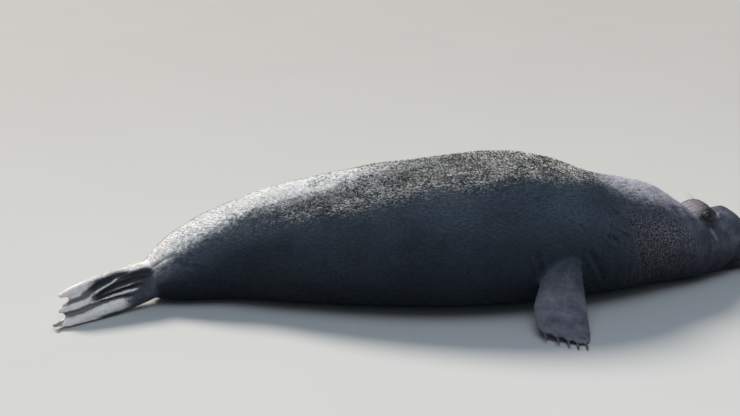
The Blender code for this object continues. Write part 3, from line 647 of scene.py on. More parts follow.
def limb_relief(place):
    """Folds along the hind flippers, and creases over the knuckles of the fore ones."""
    fine = np.zeros_like(place.s)
    waver = 0.003 * rough(place.points, 30, 14)
    for name, sign in HIND_SIDES:
        along, height, span = hind_grid(place, name, sign)
        folds = np.zeros_like(along)
        for line, rise, half in HIND_FOLDS:
            places = [knot[0] for knot in line]
            middle = np.interp(along, places, [knot[1] for knot in line])
            away = (height - middle) * span + waver
            ends = smooth_step(places[0] - 0.05, places[0] + 0.03, along)
            ends = ends * (1 - smooth_step(places[-1] - 0.02, places[-1] + 0.04, along))
            folds += rise * bell(away, 0.0, half) * ends
        streaks = rough(np.stack([along * 12, height * 20, 0 * along], axis=1), 1.0, 12)
        fine += place.part[name] * (folds + 0.0014 * streaks * smooth_step(0.02, 0.22, along))
    for name, sign in FORE_SIDES:
        along, across = flipper_grid(place.points, name, sign)
        knuckles = ridged(np.stack([along * 38, across * 12, 0 * along], axis=1), 13, 2.4)
        grow = smooth_step(0.05, 0.25, along)
        fine += place.part[name] * grow * 0.0020 * knuckles
    return fine * (1 - smooth_step(0.97, 1.0, np.abs(place.normals[:, 2])) * 0.3)


# Places along a hind flipper, in metres from the ankle, where its height is measured
HIND_STEP = 0.03
HIND_STEPS = np.arange(-0.05, 0.76, HIND_STEP)


def hind_grid(place, name, sign):
    """Metres along a hind flipper, share of its height, and that height, at each point."""
    along = flipper_grid(place.points, name, sign)[0]
    own = place.part[name] > 0.6
    low, high = [], []
    for step in HIND_STEPS:
        near = own & (np.abs(along - step) < HIND_STEP)
        heights = place.z[near if near.any() else own]
        low.append(heights.min())
        high.append(heights.max())
    low = np.interp(along, HIND_STEPS, low)
    span = np.interp(along, HIND_STEPS, high) - low
    return along, np.clip((place.z - low) / span, 0.0, 1.0), span


def flipper_direction(name, sign):
    """Which way a flipper points, in plan, as a unit vector in the row frame."""
    if name in HIND:
        return Vector((-math.cos(HIND_HEADING), -math.sin(HIND_HEADING), 0.0))
    return SPINE.direction(FORE_ROOT[0], -math.sin(FORE_SWEEP), sign * math.cos(FORE_SWEEP),
                           0.0)


def flipper_grid(points, name, sign):
    """Metres along a flipper from its root, and across it, for each point."""
    toward = np.array(flipper_direction(name, sign))
    beside = np.array([-toward[1], toward[0], 0.0])
    spoke = points - np.array(on_side(HIND_ROOT if name in HIND else FORE_ROOT, sign))
    across = spoke @ beside
    if name in HIND:
        # A hind flipper stands on its edge, so height counts as well
        across = across + 0.8 * spoke[:, 2]
    return spoke @ toward, across


# Whiskers: (s, z) of the first root, steps to the next row and to the next column, and
# how far a whisker droops; then (s, side) of the hairs over each eye and their droop
WHISKER_ROWS = 6
WHISKER_COLUMNS = 6
WHISKER_FIRST = (3.725, 0.205)
WHISKER_ROW_STEP = (0.007, -0.024)
WHISKER_COLUMN_STEP = (0.024, -0.012)
WHISKER_DROOP = 0.030
BROW_WHISKERS = [(3.395, 0.092), (3.412, 0.084), (3.428, 0.090)]
BROW_DROOP = 0.014


def whisker_places():
    """Row, column, s and z of each whisker's root on the side of the snout."""
    for row in range(WHISKER_ROWS):
        for column in range(WHISKER_COLUMNS - row // 2):
            s = WHISKER_FIRST[0] + WHISKER_COLUMN_STEP[0] * column + WHISKER_ROW_STEP[0] * row
            z = WHISKER_FIRST[1] + WHISKER_ROW_STEP[1] * row + WHISKER_COLUMN_STEP[1] * column
            yield row, column, s, z


def shape_eyes(points):
    """Open the skin over each eye, with a rolled lid and folds round it."""
    for name, sign in EYE_SIDES:
        eye = eye_axes(name, sign)
        ball = eye[1]
        toward, length, measure, v = lid_reach(points, eye)
        inner = np.interp(measure, *zip(*LID_PROFILE)) * ball
        blend = smooth_step(1.34, 1.75, measure)
        reach = inner * (1 - blend) + length * blend
        upper = smooth_step(-0.004, 0.008, v)
        reach -= 0.0030 * bell(measure, 1.52, 0.07) * (0.4 + 0.6 * upper)
        reach += 0.0026 * bell(measure, 1.74, 0.12)
        reach -= 0.0022 * bell(measure, 1.98, 0.08)
        near = (measure < 2.6) & (length < 2.4 * ball)
        moved = np.array(eye[0]) + toward * reach[:, None]
        points = np.where(near[:, None], moved, points)
    return points


def shape_nostrils(points, normals):
    """Sink a slanted pit with a raised rim on each side of the nose's front."""
    for _, sign in SIDES:
        middle = np.array(on_side(NOSTRIL_PLACE, sign))
        spoke = points - middle
        near = np.linalg.norm(spoke, axis=1)
        if near.min() > 0.03:
            raise RuntimeError("the nose has moved away from its nostrils")
        inward = -normals[near.argmin()]
        beside = np.cross(inward, [0.0, 0.0, 1.0])
        beside /= np.linalg.norm(beside)
        rise = np.cross(beside, inward)
        measure = np.hypot(spoke @ beside / NOSTRIL_AXES[1], spoke @ rise / NOSTRIL_AXES[0])
        measure = np.where(near < 0.05, measure, 9.0)
        depth = NOSTRIL_DEPTH * np.exp(-measure**4) - NOSTRIL_RIM * bell(measure, 1.45, 0.35)
        points = points + inward * depth[:, None]
    return points


# Lower border, in degrees, of the pale hair with its painted sunlit sheen, and of the caked
# sand along the spine
PALE_BORDER = [(-0.2, 44.0), (0.0, 50.0), (0.3, 53.0), (0.7, 55.0), (1.1, 60.0), (1.8, 68.0)]
CRUST_BORDER = [(0.9, 42.0), (1.15, 44.0), (1.6, 51.0), (2.05, 57.0), (2.4, 61.0), (2.8, 64.0)]


# Markings: each is a field of the skin, from 0 to 1, that the coat and the finishes read
MARKS = ("pale", "crust", "nape", "shield", "face", "warm", "wet", "streak", "limb", "low",
         "high", "cavity", "raised")


def pale_hair_and_sheen(place, high, ragged, fine):
    """How pale the rear of the back is, and the lobes, upper rim and raised folds of the hind
    flippers: partly dust and sun-faded hair, partly painted sunlit sheen and highlights.
    """
    # On the far side, which the key light already lights, the border is higher and the painted
    # sheen weaker
    far = smooth_step(-0.02, 0.16, place.side)
    border = curve_through(PALE_BORDER, place.s) + 11 * far
    pale = smooth_step(-25, 19, high - border) * (1 - smooth_step(1.10, 2.25, ragged))
    pale = pale * (1 - 0.28 * far) * place.trunk
    for name, sign in HIND_SIDES:
        along, height, _ = hind_grid(place, name, sign)
        along = along + 0.02 * rough(place.points, 22, 22)
        # Painted sunlight on the tips and the lower lobe, and painted highlights on the upper
        # rim and the raised folds, with some dry sand
        tips = smooth_step(0.36, 0.47, along)
        lower = smooth_step(0.17, 0.28, along) * smooth_step(0.04, 0.14, height)
        lower = lower * (1 - smooth_step(0.36, 0.44, height))
        rim = 0.75 * smooth_step(0.90, 0.97, height)
        fold = 0.8 * smooth_step(0.0015, 0.007, fine)
        bright = np.maximum(np.maximum(tips, lower), np.maximum(rim, fold))
        pale += place.part[name] * bright
    return pale


def limb_skin(place, high, ragged):
    """Where the bare-looking skin of the flippers shows, and of the trunk's end by them."""
    rear = 0.55 * (1 - smooth_step(0.02, 0.60, ragged))
    limb = place.hind + rear * smooth_step(8, 34, high) * place.trunk
    for name, sign in FORE_SIDES:
        along = flipper_grid(place.points, name, sign)[0]
        along = along + 0.04 * rough(place.points, 9, 24)
        limb += place.part[name] * smooth_step(0.02, 0.24, along)
    return limb


def caked_sand(place, high, ragged):
    """How thickly sand is caked in the hair along the crest of the back."""
    clump = rough(place.points, 7, 27) + 0.5 * rough(place.points, 21, 28)
    clump = smooth_step(-0.45, 0.25, clump)
    crust = smooth_step(0.42, 1.30, ragged) * (1 - smooth_step(2.42, 3.05, ragged))
    crust = crust * smooth_step(-19, 14, high - curve_through(CRUST_BORDER, place.s))
    return crust * (0.70 + 0.30 * clump) * place.trunk


def beside_eyes(place):
    """Wet hair round each eye and in the track under it, a painted glint on the wet skin in
    front of each eye, and the pale dried salt under it.
    """
    s, z, points = place.s, place.z, place.points
    wet = np.zeros_like(s)
    streak = np.zeros_like(s)
    for name, sign in EYE_SIDES:
        middle = np.array(eye_axes(name, sign)[0])
        own = np.where(place.side * sign > 0, 1.0, 0.0)
        eye_s = float(SPINE.straighten(middle[None])[0][0])
        above = z - middle[2]
        around = np.hypot((s - eye_s - 0.004) / 0.080, (above - 0.002) / 0.052)
        wet += own * (1 - smooth_step(0.60, 1.15, around + 0.10 * rough(points, 30, 23)))
        track = segment_distance(s, z, (eye_s + 0.004, middle[2] - 0.045),
                                 (eye_s + 0.060, middle[2] - 0.165))
        wet += 0.45 * own * bell(track, 0.0, 0.018)
        # Painted glint: a lit crescent of wet skin in front of the eye
        painted_glint = segment_distance(s, np.abs(place.side), (eye_s + 0.105, 0.058),
                                    (eye_s + 0.080, 0.104))
        streak += own * bell(painted_glint, 0.0, 0.0075) * smooth_step(-0.05, -0.02, above)
        salt = segment_distance(s, z, (eye_s - 0.016, middle[2] - 0.050),
                                (eye_s + 0.022, middle[2] - 0.110))
        streak += 0.35 * own * bell(salt, 0.0, 0.008)
    return wet, streak


def markings(place, shield, neck, fine):
    """How much of each tone the skin shows at each vertex."""
    s, climb, points = place.s, place.climb, place.points
    high = climb + rough(points, 5, 20) * 4 + rough(points, 17, 21) * 3
    ragged = s + 0.16 * rough(points, 3.6, 25) + 0.06 * rough(points, 13, 26)
    # Pale top of the nape: dry folds, partly painted sunlight
    nape = place.window(2.50, NAPE_S, 0.20) * smooth_step(30, 78, high) * place.trunk
    face = smooth_step(NAPE_S - 0.25, NAPE_S + 0.06, s) * place.trunk
    # Upper flank: dust in the hair, and painted skylight on the surfaces that face up
    upper = smooth_step(6, 46, high + 16 * bell(s, 2.62, 0.40)) * place.trunk
    wet, streak = beside_eyes(place)
    marks = {
        "pale": pale_hair_and_sheen(place, high, ragged, fine),
        "crust": caked_sand(place, high, ragged),
        "nape": nape * smooth_step(2.42, 3.02, ragged),
        "shield": np.maximum(shield, 0.5 * neck),
        "face": face,
        # Lighter brown on top of the head, partly a painted sunlit highlight
        "warm": bell(s, 3.385, 0.045) * smooth_step(38, 62, climb) * face,
        "wet": wet * face,
        "streak": streak * face,
        "limb": limb_skin(place, high, ragged),
        # Painted shade: a darker, bluer lower flank, and darker hind flippers
        "low": (1 - smooth_step(-25, 32, climb)) * place.trunk + 0.50 * place.hind,
        "high": upper,
        "cavity": -fine / 0.0045,
        "raised": fine / 0.0035,
    }
    return {name: np.clip(marks[name], 0.0, 1.0) for name in MARKS}


# How far the lie of the hair slopes down, to a metre along it
TRUNK_FALL = 0.16
FORE_FALL = 0.6
HIND_FALL = 0.1
# Radius that turns an angle round the trunk into metres of the finish's streaks
STREAK_RADIUS = 0.42


def hair_lie(place):
    """Unit direction that the hair lies in, along the skin, at each vertex."""
    angle = np.interp(place.s, SPINE.s, SPINE.angle)
    fall = np.full_like(angle, -TRUNK_FALL)
    lie = np.stack([-np.cos(angle), -np.sin(angle), fall], axis=1)
    for name, sign in LIMB_SIDES:
        toward = np.array(flipper_direction(name, sign))
        toward[2] -= FORE_FALL if name in FORE else HIND_FALL
        share = place.part[name][:, None]
        lie = lie * (1 - share) + toward * share
    lie = lie - place.normals * np.sum(lie * place.normals, axis=1, keepdims=True)
    return lie / np.maximum(np.linalg.norm(lie, axis=1, keepdims=True), 1e-6)


def grain_place(place):
    """Metres along the hair's lie, and across it, for streaks in the finish."""
    along = -place.s
    across = np.radians(place.climb) * STREAK_RADIUS * np.sign(place.side)
    for name, sign in LIMB_SIDES:
        here = place.part[name] > 0.5
        u, v = flipper_grid(place.points, name, sign)
        along = np.where(here, u, along)
        across = np.where(here, v, across)
    return np.stack([along, across, np.zeros_like(along)], axis=1)


def unwrapped(place):
    """The skin laid out flat: trunk in one island, upper and lower face of each flipper."""
    # The trunk fills the map's left, and each flipper has two columns at its right
    turn = np.degrees(np.arctan2(place.z - place.middle, place.side))
    u = 0.02 + 0.62 * (place.s + 0.20) / 4.25
    v = 0.5 + (turn - 90) / 400
    for index, (name, sign) in enumerate(LIMB_SIDES):
        here = place.part[name] > 0.5
        along, across = flipper_grid(place.points, name, sign)
        upper = place.normals[:, 2] > 0
        start = 0.68 + 0.075 * index + np.where(upper, 0.0, 0.0375)
        u = np.where(here, start + 0.05 * np.clip(across + 0.3, 0, 0.6), u)
        v = np.where(here, 0.05 + 0.9 * np.clip(along + 0.1, 0, 1.0), v)
    return np.stack([u, v, 0 * u], axis=1)


# Tufts of the bare flank and of each marking over it: length, width and rise, and how
# densely they stand
TUFTS = [
    ("flank", (0.024, 0.0036, 0.0012), 0.62),
    ("pale", (0.022, 0.0042, 0.0016), 0.80),
    ("crust", (0.0120, 0.0076, 0.0043), 1.15),
    ("nape", (0.018, 0.0042, 0.0022), 1.05),
    ("shield", (0.013, 0.0042, 0.0020), 0.95),
    ("limb", (0.012, 0.0022, 0.0006), 0.85),
    ("face", (0.0110, 0.0018, 0.0006), 1.90),
    ("snout", (0.0085, 0.0015, 0.0005), 1.90),
]


def tuft_sizes(place, marks):
    """Length, width and rise of the tufts at each vertex, and how densely they stand."""
    count = len(place.s)
    snout = smooth_step(3.50, 3.62, place.s) * marks["face"]
    amounts = dict(marks, flank=np.ones(count), snout=snout)
    size = np.zeros((count, 3))
    share = np.zeros(count)
    for mark, shape, density in TUFTS:
        amount = amounts[mark]
        size = size * (1 - amount)[:, None] + np.array(shape) * amount[:, None]
        share = share * (1 - amount) + density * amount
    # No tufts on the floor, in wet hair, on the lids or in the nostrils
    share = share * smooth_step(0.012, 0.045, place.z) * (1 - marks["wet"])
    for name, sign in EYE_SIDES:
        measure = lid_reach(place.points, eye_axes(name, sign))[2]
        share = share * smooth_step(1.5, 1.9, measure)
        away = distance_to(place.points, on_side(NOSTRIL_PLACE, sign))
        share = share * smooth_step(0.020, 0.032, away)
    return size, share


def make_skin_mesh():
    """The whole skin with its relief, markings and the fields that the coat reads."""
    mesh = base_skin()
    refine(mesh)
    points, edges = read_points(mesh), read_edges(mesh)
    place = BodyMap(points, read_normals(mesh), edges)
    relief, fine, shield, neck = trunk_relief(place)
    line = lip_line(points)
    fine = fine + head_relief(place, line) + limb_relief(place)
    depth = bpy.context.scene.seal_coat.depth
    points = points + place.normals * (relief + fine - depth)[:, None]
    points = shape_eyes(points)
    points = shape_nostrils(points, place.normals)
    points[:, 2] = np.maximum(points[:, 2], 0.0)
    write_points(mesh, points)
    place = BodyMap(points, read_normals(mesh), edges)
    marks = markings(place, shield, neck, fine)
    for name, values in marks.items():
        store(mesh, name, values)
    size, share = tuft_sizes(place, marks)
    store(mesh, "tuft_size", size)
    store(mesh, "tuft_share", share)
    store(mesh, "lie", hair_lie(place))
    store(mesh, "grain", grain_place(place))
    store(mesh, "unwrap", unwrapped(place))
    return mesh


def piece_of_skin(skin, name, chosen):
    """New mesh of the skin's chosen triangles, with the fields that the coat reads."""
    source = skin.data
    triangles = read_triangles(source)[chosen]
    used, local = np.unique(triangles, return_inverse=True)
    mesh = bpy.data.meshes.new(name)
    mesh.vertices.add(len(used))
    mesh.vertices.foreach_set("co", read_points(source)[used].astype(np.float32).ravel())
    mesh.loops.add(len(triangles) * 3)
    mesh.loops.foreach_set("vertex_index", local.ravel().astype(np.int32))
    mesh.polygons.add(len(triangles))
    mesh.polygons.foreach_set("loop_start", np.arange(0, len(triangles) * 3, 3, np.int32))
    mesh.update(calc_edges=True)
    for field in MARKS + ("tuft_share",):
        values = read_array(source.attributes[field].data, "value", 1)
        store(mesh, field, values[used, 0])
    for field in ("tuft_size", "lie", "grain", "unwrap"):
        values = read_array(source.attributes[field].data, "vector", 3)
        store(mesh, field, values[used])
    return mesh


class Nodes:
    """Short way to lay out a node tree."""

    def __init__(self, tree):
        self.tree = tree
        self.step = 0

    def add(self, kind, *links, **settings):
        """New node; links go to its first sockets in order, and inputs to named ones."""
        made = self.tree.nodes.new(kind)
        self.step += 1
        made.location = (180 * (self.step % 24), -260 * (self.step // 24))
        inputs = settings.pop("inputs", {})
        for key, value in settings.items():
            setattr(made, key, value)
        for socket, source in zip(made.inputs, links):
            self.plug(source, socket)
        for key, source in inputs.items():
            self.plug(source, made.inputs[key])
        return made

    def plug(self, source, socket):
        """Link a socket, or set its value where the source is a plain one."""
        if isinstance(source, bpy.types.Node):
            source = source.outputs[0]
        if isinstance(source, bpy.types.NodeSocket):
            self.tree.links.new(source, socket)
        else:
            socket.default_value = source

    def math(self, operation, *values):
        return self.add("ShaderNodeMath", *values, operation=operation)

    def mix(self, amount, a, b):
        made = self.add("ShaderNodeMix", data_type="RGBA")
        self.plug(amount, made.inputs["Factor"])
        self.plug(a, made.inputs[6])
        self.plug(b, made.inputs[7])
        return made.outputs[2]

    def ramp(self, value, low, high):
        """0 below low and 1 above high, with a smooth step between."""
        return self.add("ShaderNodeMapRange", value, low, high,
                        interpolation_type="SMOOTHSTEP").outputs[0]

    def noise(self, vector, scale, detail=2.0, roughness=0.5):
        return self.add("ShaderNodeTexNoise", inputs={
            "Vector": vector, "Scale": scale, "Detail": detail, "Roughness": roughness})

    def stretched(self, vector, scale):
        return self.add("ShaderNodeVectorMath", vector, scale, operation="MULTIPLY")

    def field(self, name):
        """A named attribute of the surface."""
        return self.add("ShaderNodeAttribute", attribute_name=name, attribute_type="GEOMETRY")

    def bump(self, height, strength=1.0):
        """Normals of a height in metres."""
        return self.add("ShaderNodeBump", inputs={
            "Strength": strength, "Distance": 1.0, "Height": height})


def new_group(name, inputs, outputs):
    """Make a shader group with named sockets: its nodes, its inputs and its outputs."""
    tree = bpy.data.node_groups.new(name, "ShaderNodeTree")
    for label, kind, default in inputs:
        socket = tree.interface.new_socket(label, in_out="INPUT", socket_type=kind)
        if default is not None:
            socket.default_value = default
    for label, kind in outputs:
        tree.interface.new_socket(label, in_out="OUTPUT", socket_type=kind)
    nodes = Nodes(tree)
    return nodes, nodes.add("NodeGroupInput"), nodes.add("NodeGroupOutput")


def fur_grain_group():
    """Fine hair streaks along the lie, as height and as tone."""
    nodes, given, out = new_group(
        "fur_grain",
        [("Grain", "NodeSocketVector", None), ("Fineness", "NodeSocketFloat", 1.0)],
        [("Height", "NodeSocketFloat"), ("Tone", "NodeSocketFloat")])
    scaled = nodes.add("ShaderNodeVectorMath", given.outputs["Grain"],
                       operation="SCALE")
    nodes.plug(given.outputs["Fineness"], scaled.inputs["Scale"])
    fine = nodes.noise(nodes.stretched(scaled, (45.0, 520.0, 1.0)), 1.0, 3.0, 0.6)
    broad = nodes.noise(nodes.stretched(scaled, (14.0, 90.0, 1.0)), 1.0, 3.0, 0.55)
    nodes.plug(fine, out.inputs["Height"])
    nodes.plug(nodes.math("ADD", nodes.math("MULTIPLY", fine, 0.45),
                          nodes.math("MULTIPLY", broad, 0.55)), out.inputs["Tone"])


def clods_group():
    """Speckle of sand caked in the hair, spread evenly between 0 and 1."""
    nodes, given, out = new_group(
        "sand_clods", [("Place", "NodeSocketVector", None)], [("Value", "NodeSocketFloat")])
    place = given.outputs["Place"]
    value = nodes.math("ADD", nodes.math("MULTIPLY", nodes.noise(place, 90.0, 3.0, 0.65), 0.5),
                       nodes.math("MULTIPLY", nodes.noise(place, 240.0, 2.0, 0.6), 0.5))
    nodes.plug(nodes.ramp(value, 0.36, 0.64), out.inputs["Value"])


def wrinkles_group():
    """Network of fine wrinkles: height, and a tone that is dark in the furrows."""
    nodes, given, out = new_group(
        "skin_wrinkles",
        [("Place", "NodeSocketVector", None), ("Scale", "NodeSocketFloat", 85.0)],
        [("Height", "NodeSocketFloat"), ("Tone", "NodeSocketFloat")])
    place = given.outputs["Place"]
    warp = nodes.noise(place, 30.0, 2.0)
    moved = nodes.add("ShaderNodeVectorMath", place, nodes.add(
        "ShaderNodeVectorMath", warp.outputs["Color"], (0.028, 0.028, 0.028),
        operation="MULTIPLY"), operation="ADD")
    cells = nodes.add("ShaderNodeTexVoronoi", feature="DISTANCE_TO_EDGE",
                      inputs={"Vector": moved, "Scale": given.outputs["Scale"]})
    height = nodes.ramp(cells.outputs["Distance"], 0.0, 0.22)
    nodes.plug(height, out.inputs["Height"])
    nodes.plug(height, out.inputs["Tone"])


def hide_tone_group(shades):
    """Colour and roughness of the hide from its markings, for the skin and the coat."""
    inputs = [("Place", "NodeSocketVector", None), ("Grain", "NodeSocketFloat", 0.5),
              ("Furrow", "NodeSocketFloat", 1.0), ("Tuft", "NodeSocketFloat", 0.5)]
    inputs += [(mark, "NodeSocketFloat", 0.0) for mark in MARKS]
    nodes, given, out = new_group(
        "hide_tone", inputs,
        [("Colour", "NodeSocketColor"), ("Roughness", "NodeSocketFloat")])
    mark = given.outputs
    tuft = mark["Tuft"]
    drift = nodes.noise(mark["Place"], 2.3, 3.0, 0.55)
    blotch = nodes.noise(mark["Place"], 13.0, 3.0, 0.6)
    fleck = nodes.noise(mark["Place"], 38.0, 3.0, 0.7)
    patchy = nodes.noise(mark["Place"], 5.5, 3.0, 0.6)

    def times(a, b):
        return nodes.math("MULTIPLY", a, b)

    def larger(a, b):
        return nodes.math("MAXIMUM", a, b)

    def shift(value, around, amount):
        """A value moved up and down by how far another one is from a half."""
        return nodes.math("ADD", value, times(nodes.math("SUBTRACT", around, 0.5), amount))

    # Dark slate flank: the hide's dark tone, with a blue cast that is painted sky shade
    colour = nodes.mix(nodes.ramp(shift(drift, blotch, 0.25), 0.35, 0.65),
                       rgba(shades.flank_dark), rgba(shades.flank_light))
    # Lighter, bluer upper flank: dust in the hair and painted skylight
    colour = nodes.mix(times(mark["high"], nodes.ramp(shift(drift, tuft, 0.3), 0.1, 0.7)),
                       colour, rgba(shades.dust_and_skylight))
    # Chest shield: worn pale cells, with painted shade in the wrinkle grooves
    rugged = nodes.mix(nodes.ramp(shift(mark["Furrow"], tuft, 0.9), 0.30, 1.0),
                       rgba(shades.crease_shade), rgba(shades.shield))
    colour = nodes.mix(mark["shield"], colour, rugged)
    colour = nodes.mix(mark["limb"], colour, nodes.mix(
        nodes.ramp(blotch, 0.10, 0.90), rgba(shades.limb_dark), rgba(shades.limb_light)))
    colour = nodes.mix(times(mark["face"], 0.85), colour, nodes.mix(
        nodes.ramp(blotch, 0.3, 0.7), rgba(shades.face_dark), rgba(shades.face_light)))
    # Lighter brown on top of the head, partly a painted highlight
    colour = nodes.mix(times(mark["warm"], 0.6), colour, rgba(shades.crown_and_highlight))
    # Painted shade on the lower flank and on the hind flippers
    colour = nodes.mix(times(mark["low"], 0.72), colour, rgba(shades.low_shade))
    # Pale hair on the rear of the back and pale hind flippers: sandy, sun-faded hair with a
    # painted sunlit sheen, and lobes with painted sunlight
    speck = shift(shift(mark["pale"], mark["Grain"], 0.50), tuft, 0.30)
    speck = times(nodes.ramp(speck, 0.10, 0.92), nodes.ramp(mark["pale"], 0.0, 0.25))
    speck = times(speck, larger(mark["limb"], nodes.ramp(
        shift(fleck, mark["pale"], 0.5), 0.38, 0.74)))
    bright = nodes.mix(nodes.ramp(blotch, 0.35, 0.7), rgba(shades.bleached_and_sheen),
                       rgba(shades.dust_and_sheen))
    bright = nodes.mix(mark["limb"], bright, rgba(shades.lobe_dust_and_sunlight))
    colour = nodes.mix(times(speck, 0.97), colour, bright)
    # Pale wavy folds on top of the nape, lighter on the raised folds: dry skin, partly painted
    # sunlight on the fold tops
    speck = shift(times(mark["nape"], nodes.math("ADD", 0.62, mark["raised"])), tuft, 0.24)
    speck = times(nodes.ramp(speck, 0.05, 1.05), nodes.ramp(mark["nape"], 0.0, 0.30))
    colour = nodes.mix(times(speck, 0.90), colour, rgba(shades.nape))
    # Caked sand over the crest: dark gaps, grey sand, and some dry grains
    speck = shift(shift(tuft, mark["Grain"], 0.5), shift(blotch, patchy, 1.2), 1.0)
    sand = nodes.mix(nodes.ramp(speck, 0.22, 0.50), rgba(shades.gap), rgba(shades.sand))
    sand = nodes.mix(nodes.ramp(speck, 0.64, 0.88), sand, rgba(shades.sand_light))
    cover = nodes.ramp(shift(mark["crust"], tuft, 0.7), 0.36, 0.80)
    bare = nodes.math("SUBTRACT", 1.0, times(mark["pale"], nodes.ramp(speck, 0.33, 0.42)))
    colour = nodes.mix(times(cover, bare), colour, sand)
    # Wet skin by the eye, the dried track under it with the painted glint in front of the eye,
    # and painted shade in the creases
    colour = nodes.mix(times(mark["wet"], 0.93), colour, rgba(shades.wet))
    colour = nodes.mix(times(mark["streak"], 0.7), colour, rgba(shades.track))
    # Painted shade in the creases, deeper on the flippers and weaker under sand, nape folds
    # and shield
    deep = nodes.math("ADD", 0.40, times(mark["limb"], 0.37))
    covered = larger(larger(mark["nape"], mark["crust"]), times(mark["shield"], 0.6))
    crease_shade_amount = times(mark["cavity"], nodes.math("SUBTRACT", deep, times(covered, 0.45)))
    colour = nodes.mix(crease_shade_amount, colour, rgba(shades.crease_shade))
    spread = nodes.math("ADD", 0.16, times(mark["shield"], 0.60))
    tint = nodes.math("ADD", 1.0, times(nodes.math("SUBTRACT", tuft, 0.5), spread))
    tint = times(tint, nodes.math("ADD", 0.75, times(mark["Grain"], 0.50)))
    shaded = nodes.add("ShaderNodeVectorMath", colour, operation="SCALE")
    nodes.plug(tint, shaded.inputs["Scale"])
    nodes.plug(shaded, out.inputs["Colour"])
    dry = nodes.math("ADD", 0.62, times(larger(mark["crust"], mark["pale"]), 0.25))
    nodes.plug(nodes.math("SUBTRACT", dry, times(mark["wet"], 0.18)),
               out.inputs["Roughness"])


def rgba(colour):
    return (*colour[:3], 1.0)


def placed_group(nodes, tree):
    made = nodes.add("ShaderNodeGroup")
    made.node_tree = tree
    return made


def set_values(node, values):
    """Plain values for a node's named inputs."""
    for label, value in values.items():
        node.inputs[label].default_value = value


def new_material(name):
    """Material, its nodes and its shader."""
    made = bpy.data.materials.new(name)
    made.use_nodes = True
    return made, Nodes(made.node_tree), made.node_tree.nodes["Principled BSDF"]


# Heights that the finishes add to the mesh as bump
HAIR_HEIGHT = 0.0016
WRINKLE_HEIGHT = 0.0042
CLOD_HEIGHT = 0.0080
HORN_GRAIN_HEIGHT = 0.0006


def hide_material(name, tufts):
    """Hide of the skin, or of the coat where the tufts' own tones come in."""
    nodes, shader = new_material(name)[1:]
    groups = bpy.data.node_groups
    place = nodes.add("ShaderNodeTexCoord").outputs["Object"]
    grain = placed_group(nodes, groups["fur_grain"])
    nodes.plug(nodes.field("grain").outputs["Vector"], grain.inputs["Grain"])
    fields = {mark: nodes.field(mark).outputs["Fac"] for mark in MARKS}
    clods = placed_group(nodes, groups["sand_clods"])
    nodes.plug(place, clods.inputs["Place"])
    wrinkles = placed_group(nodes, groups["skin_wrinkles"])
    nodes.plug(place, wrinkles.inputs["Place"])
    tone = placed_group(nodes, groups["hide_tone"])
    nodes.plug(place, tone.inputs["Place"])
    nodes.plug(grain.outputs["Tone"], tone.inputs["Grain"])
    nodes.plug(wrinkles.outputs["Tone"], tone.inputs["Furrow"])
    for mark, socket in fields.items():
        nodes.plug(socket, tone.inputs[mark])
    own = nodes.field("tone").outputs["Fac"] if tufts else clods.outputs["Value"]
    nodes.plug(own, tone.inputs["Tuft"])
    nodes.plug(tone.outputs["Colour"], shader.inputs["Base Color"])
    nodes.plug(tone.outputs["Roughness"], shader.inputs["Roughness"])
    nodes.plug(nodes.math("MULTIPLY", fields["wet"], 0.18), shader.inputs["Coat Weight"])
    set_values(shader, {"Coat Roughness": 0.30, "Specular IOR Level": 0.22,
                        "Sheen Weight": 0.04, "Sheen Roughness": 0.55})
    height = nodes.math("MULTIPLY", grain.outputs["Height"], HAIR_HEIGHT)
    if not tufts:
        rugged = nodes.math("MAXIMUM", fields["shield"], nodes.math(
            "MULTIPLY", fields["face"], 0.12))
        height = nodes.math("ADD", height, nodes.math("MULTIPLY", nodes.math(
            "MULTIPLY", wrinkles.outputs["Height"], rugged), WRINKLE_HEIGHT))
        height = nodes.math("ADD", height, nodes.math("MULTIPLY", nodes.math(
            "MULTIPLY", clods.outputs["Value"], fields["crust"]), CLOD_HEIGHT))
    nodes.plug(nodes.bump(height, 0.9), shader.inputs["Normal"])


def join_rings(form, near, far):
    """Faces between two rings of as many vertices."""
    for k in range(len(near)):
        m = (k + 1) % len(near)
        form.faces.new((near[k], near[m], far[m], far[k]))


def ring_of_vertices(form, point, ahead, radius, sides):
    """Ring of new vertices round a point, square to the way ahead."""
    turn = ahead.normalized().to_track_quat("Z", "X")
    angles = [2 * math.pi * k / sides for k in range(sides)]
    return [form.verts.new(point + turn @ Vector(
        (radius * math.cos(angle), radius * math.sin(angle), 0.0))) for angle in angles]


# A tuft of unit size: place along it, half width and height of its three-sided sections,
# half of a section's own height, and height of the tip
TUFT_SECTIONS = [(-0.12, 0.36, -0.70), (0.46, 0.50, 0.62)]
TUFT_HALF_RISE = 0.45
TUFT_TIP_RISE = 0.35


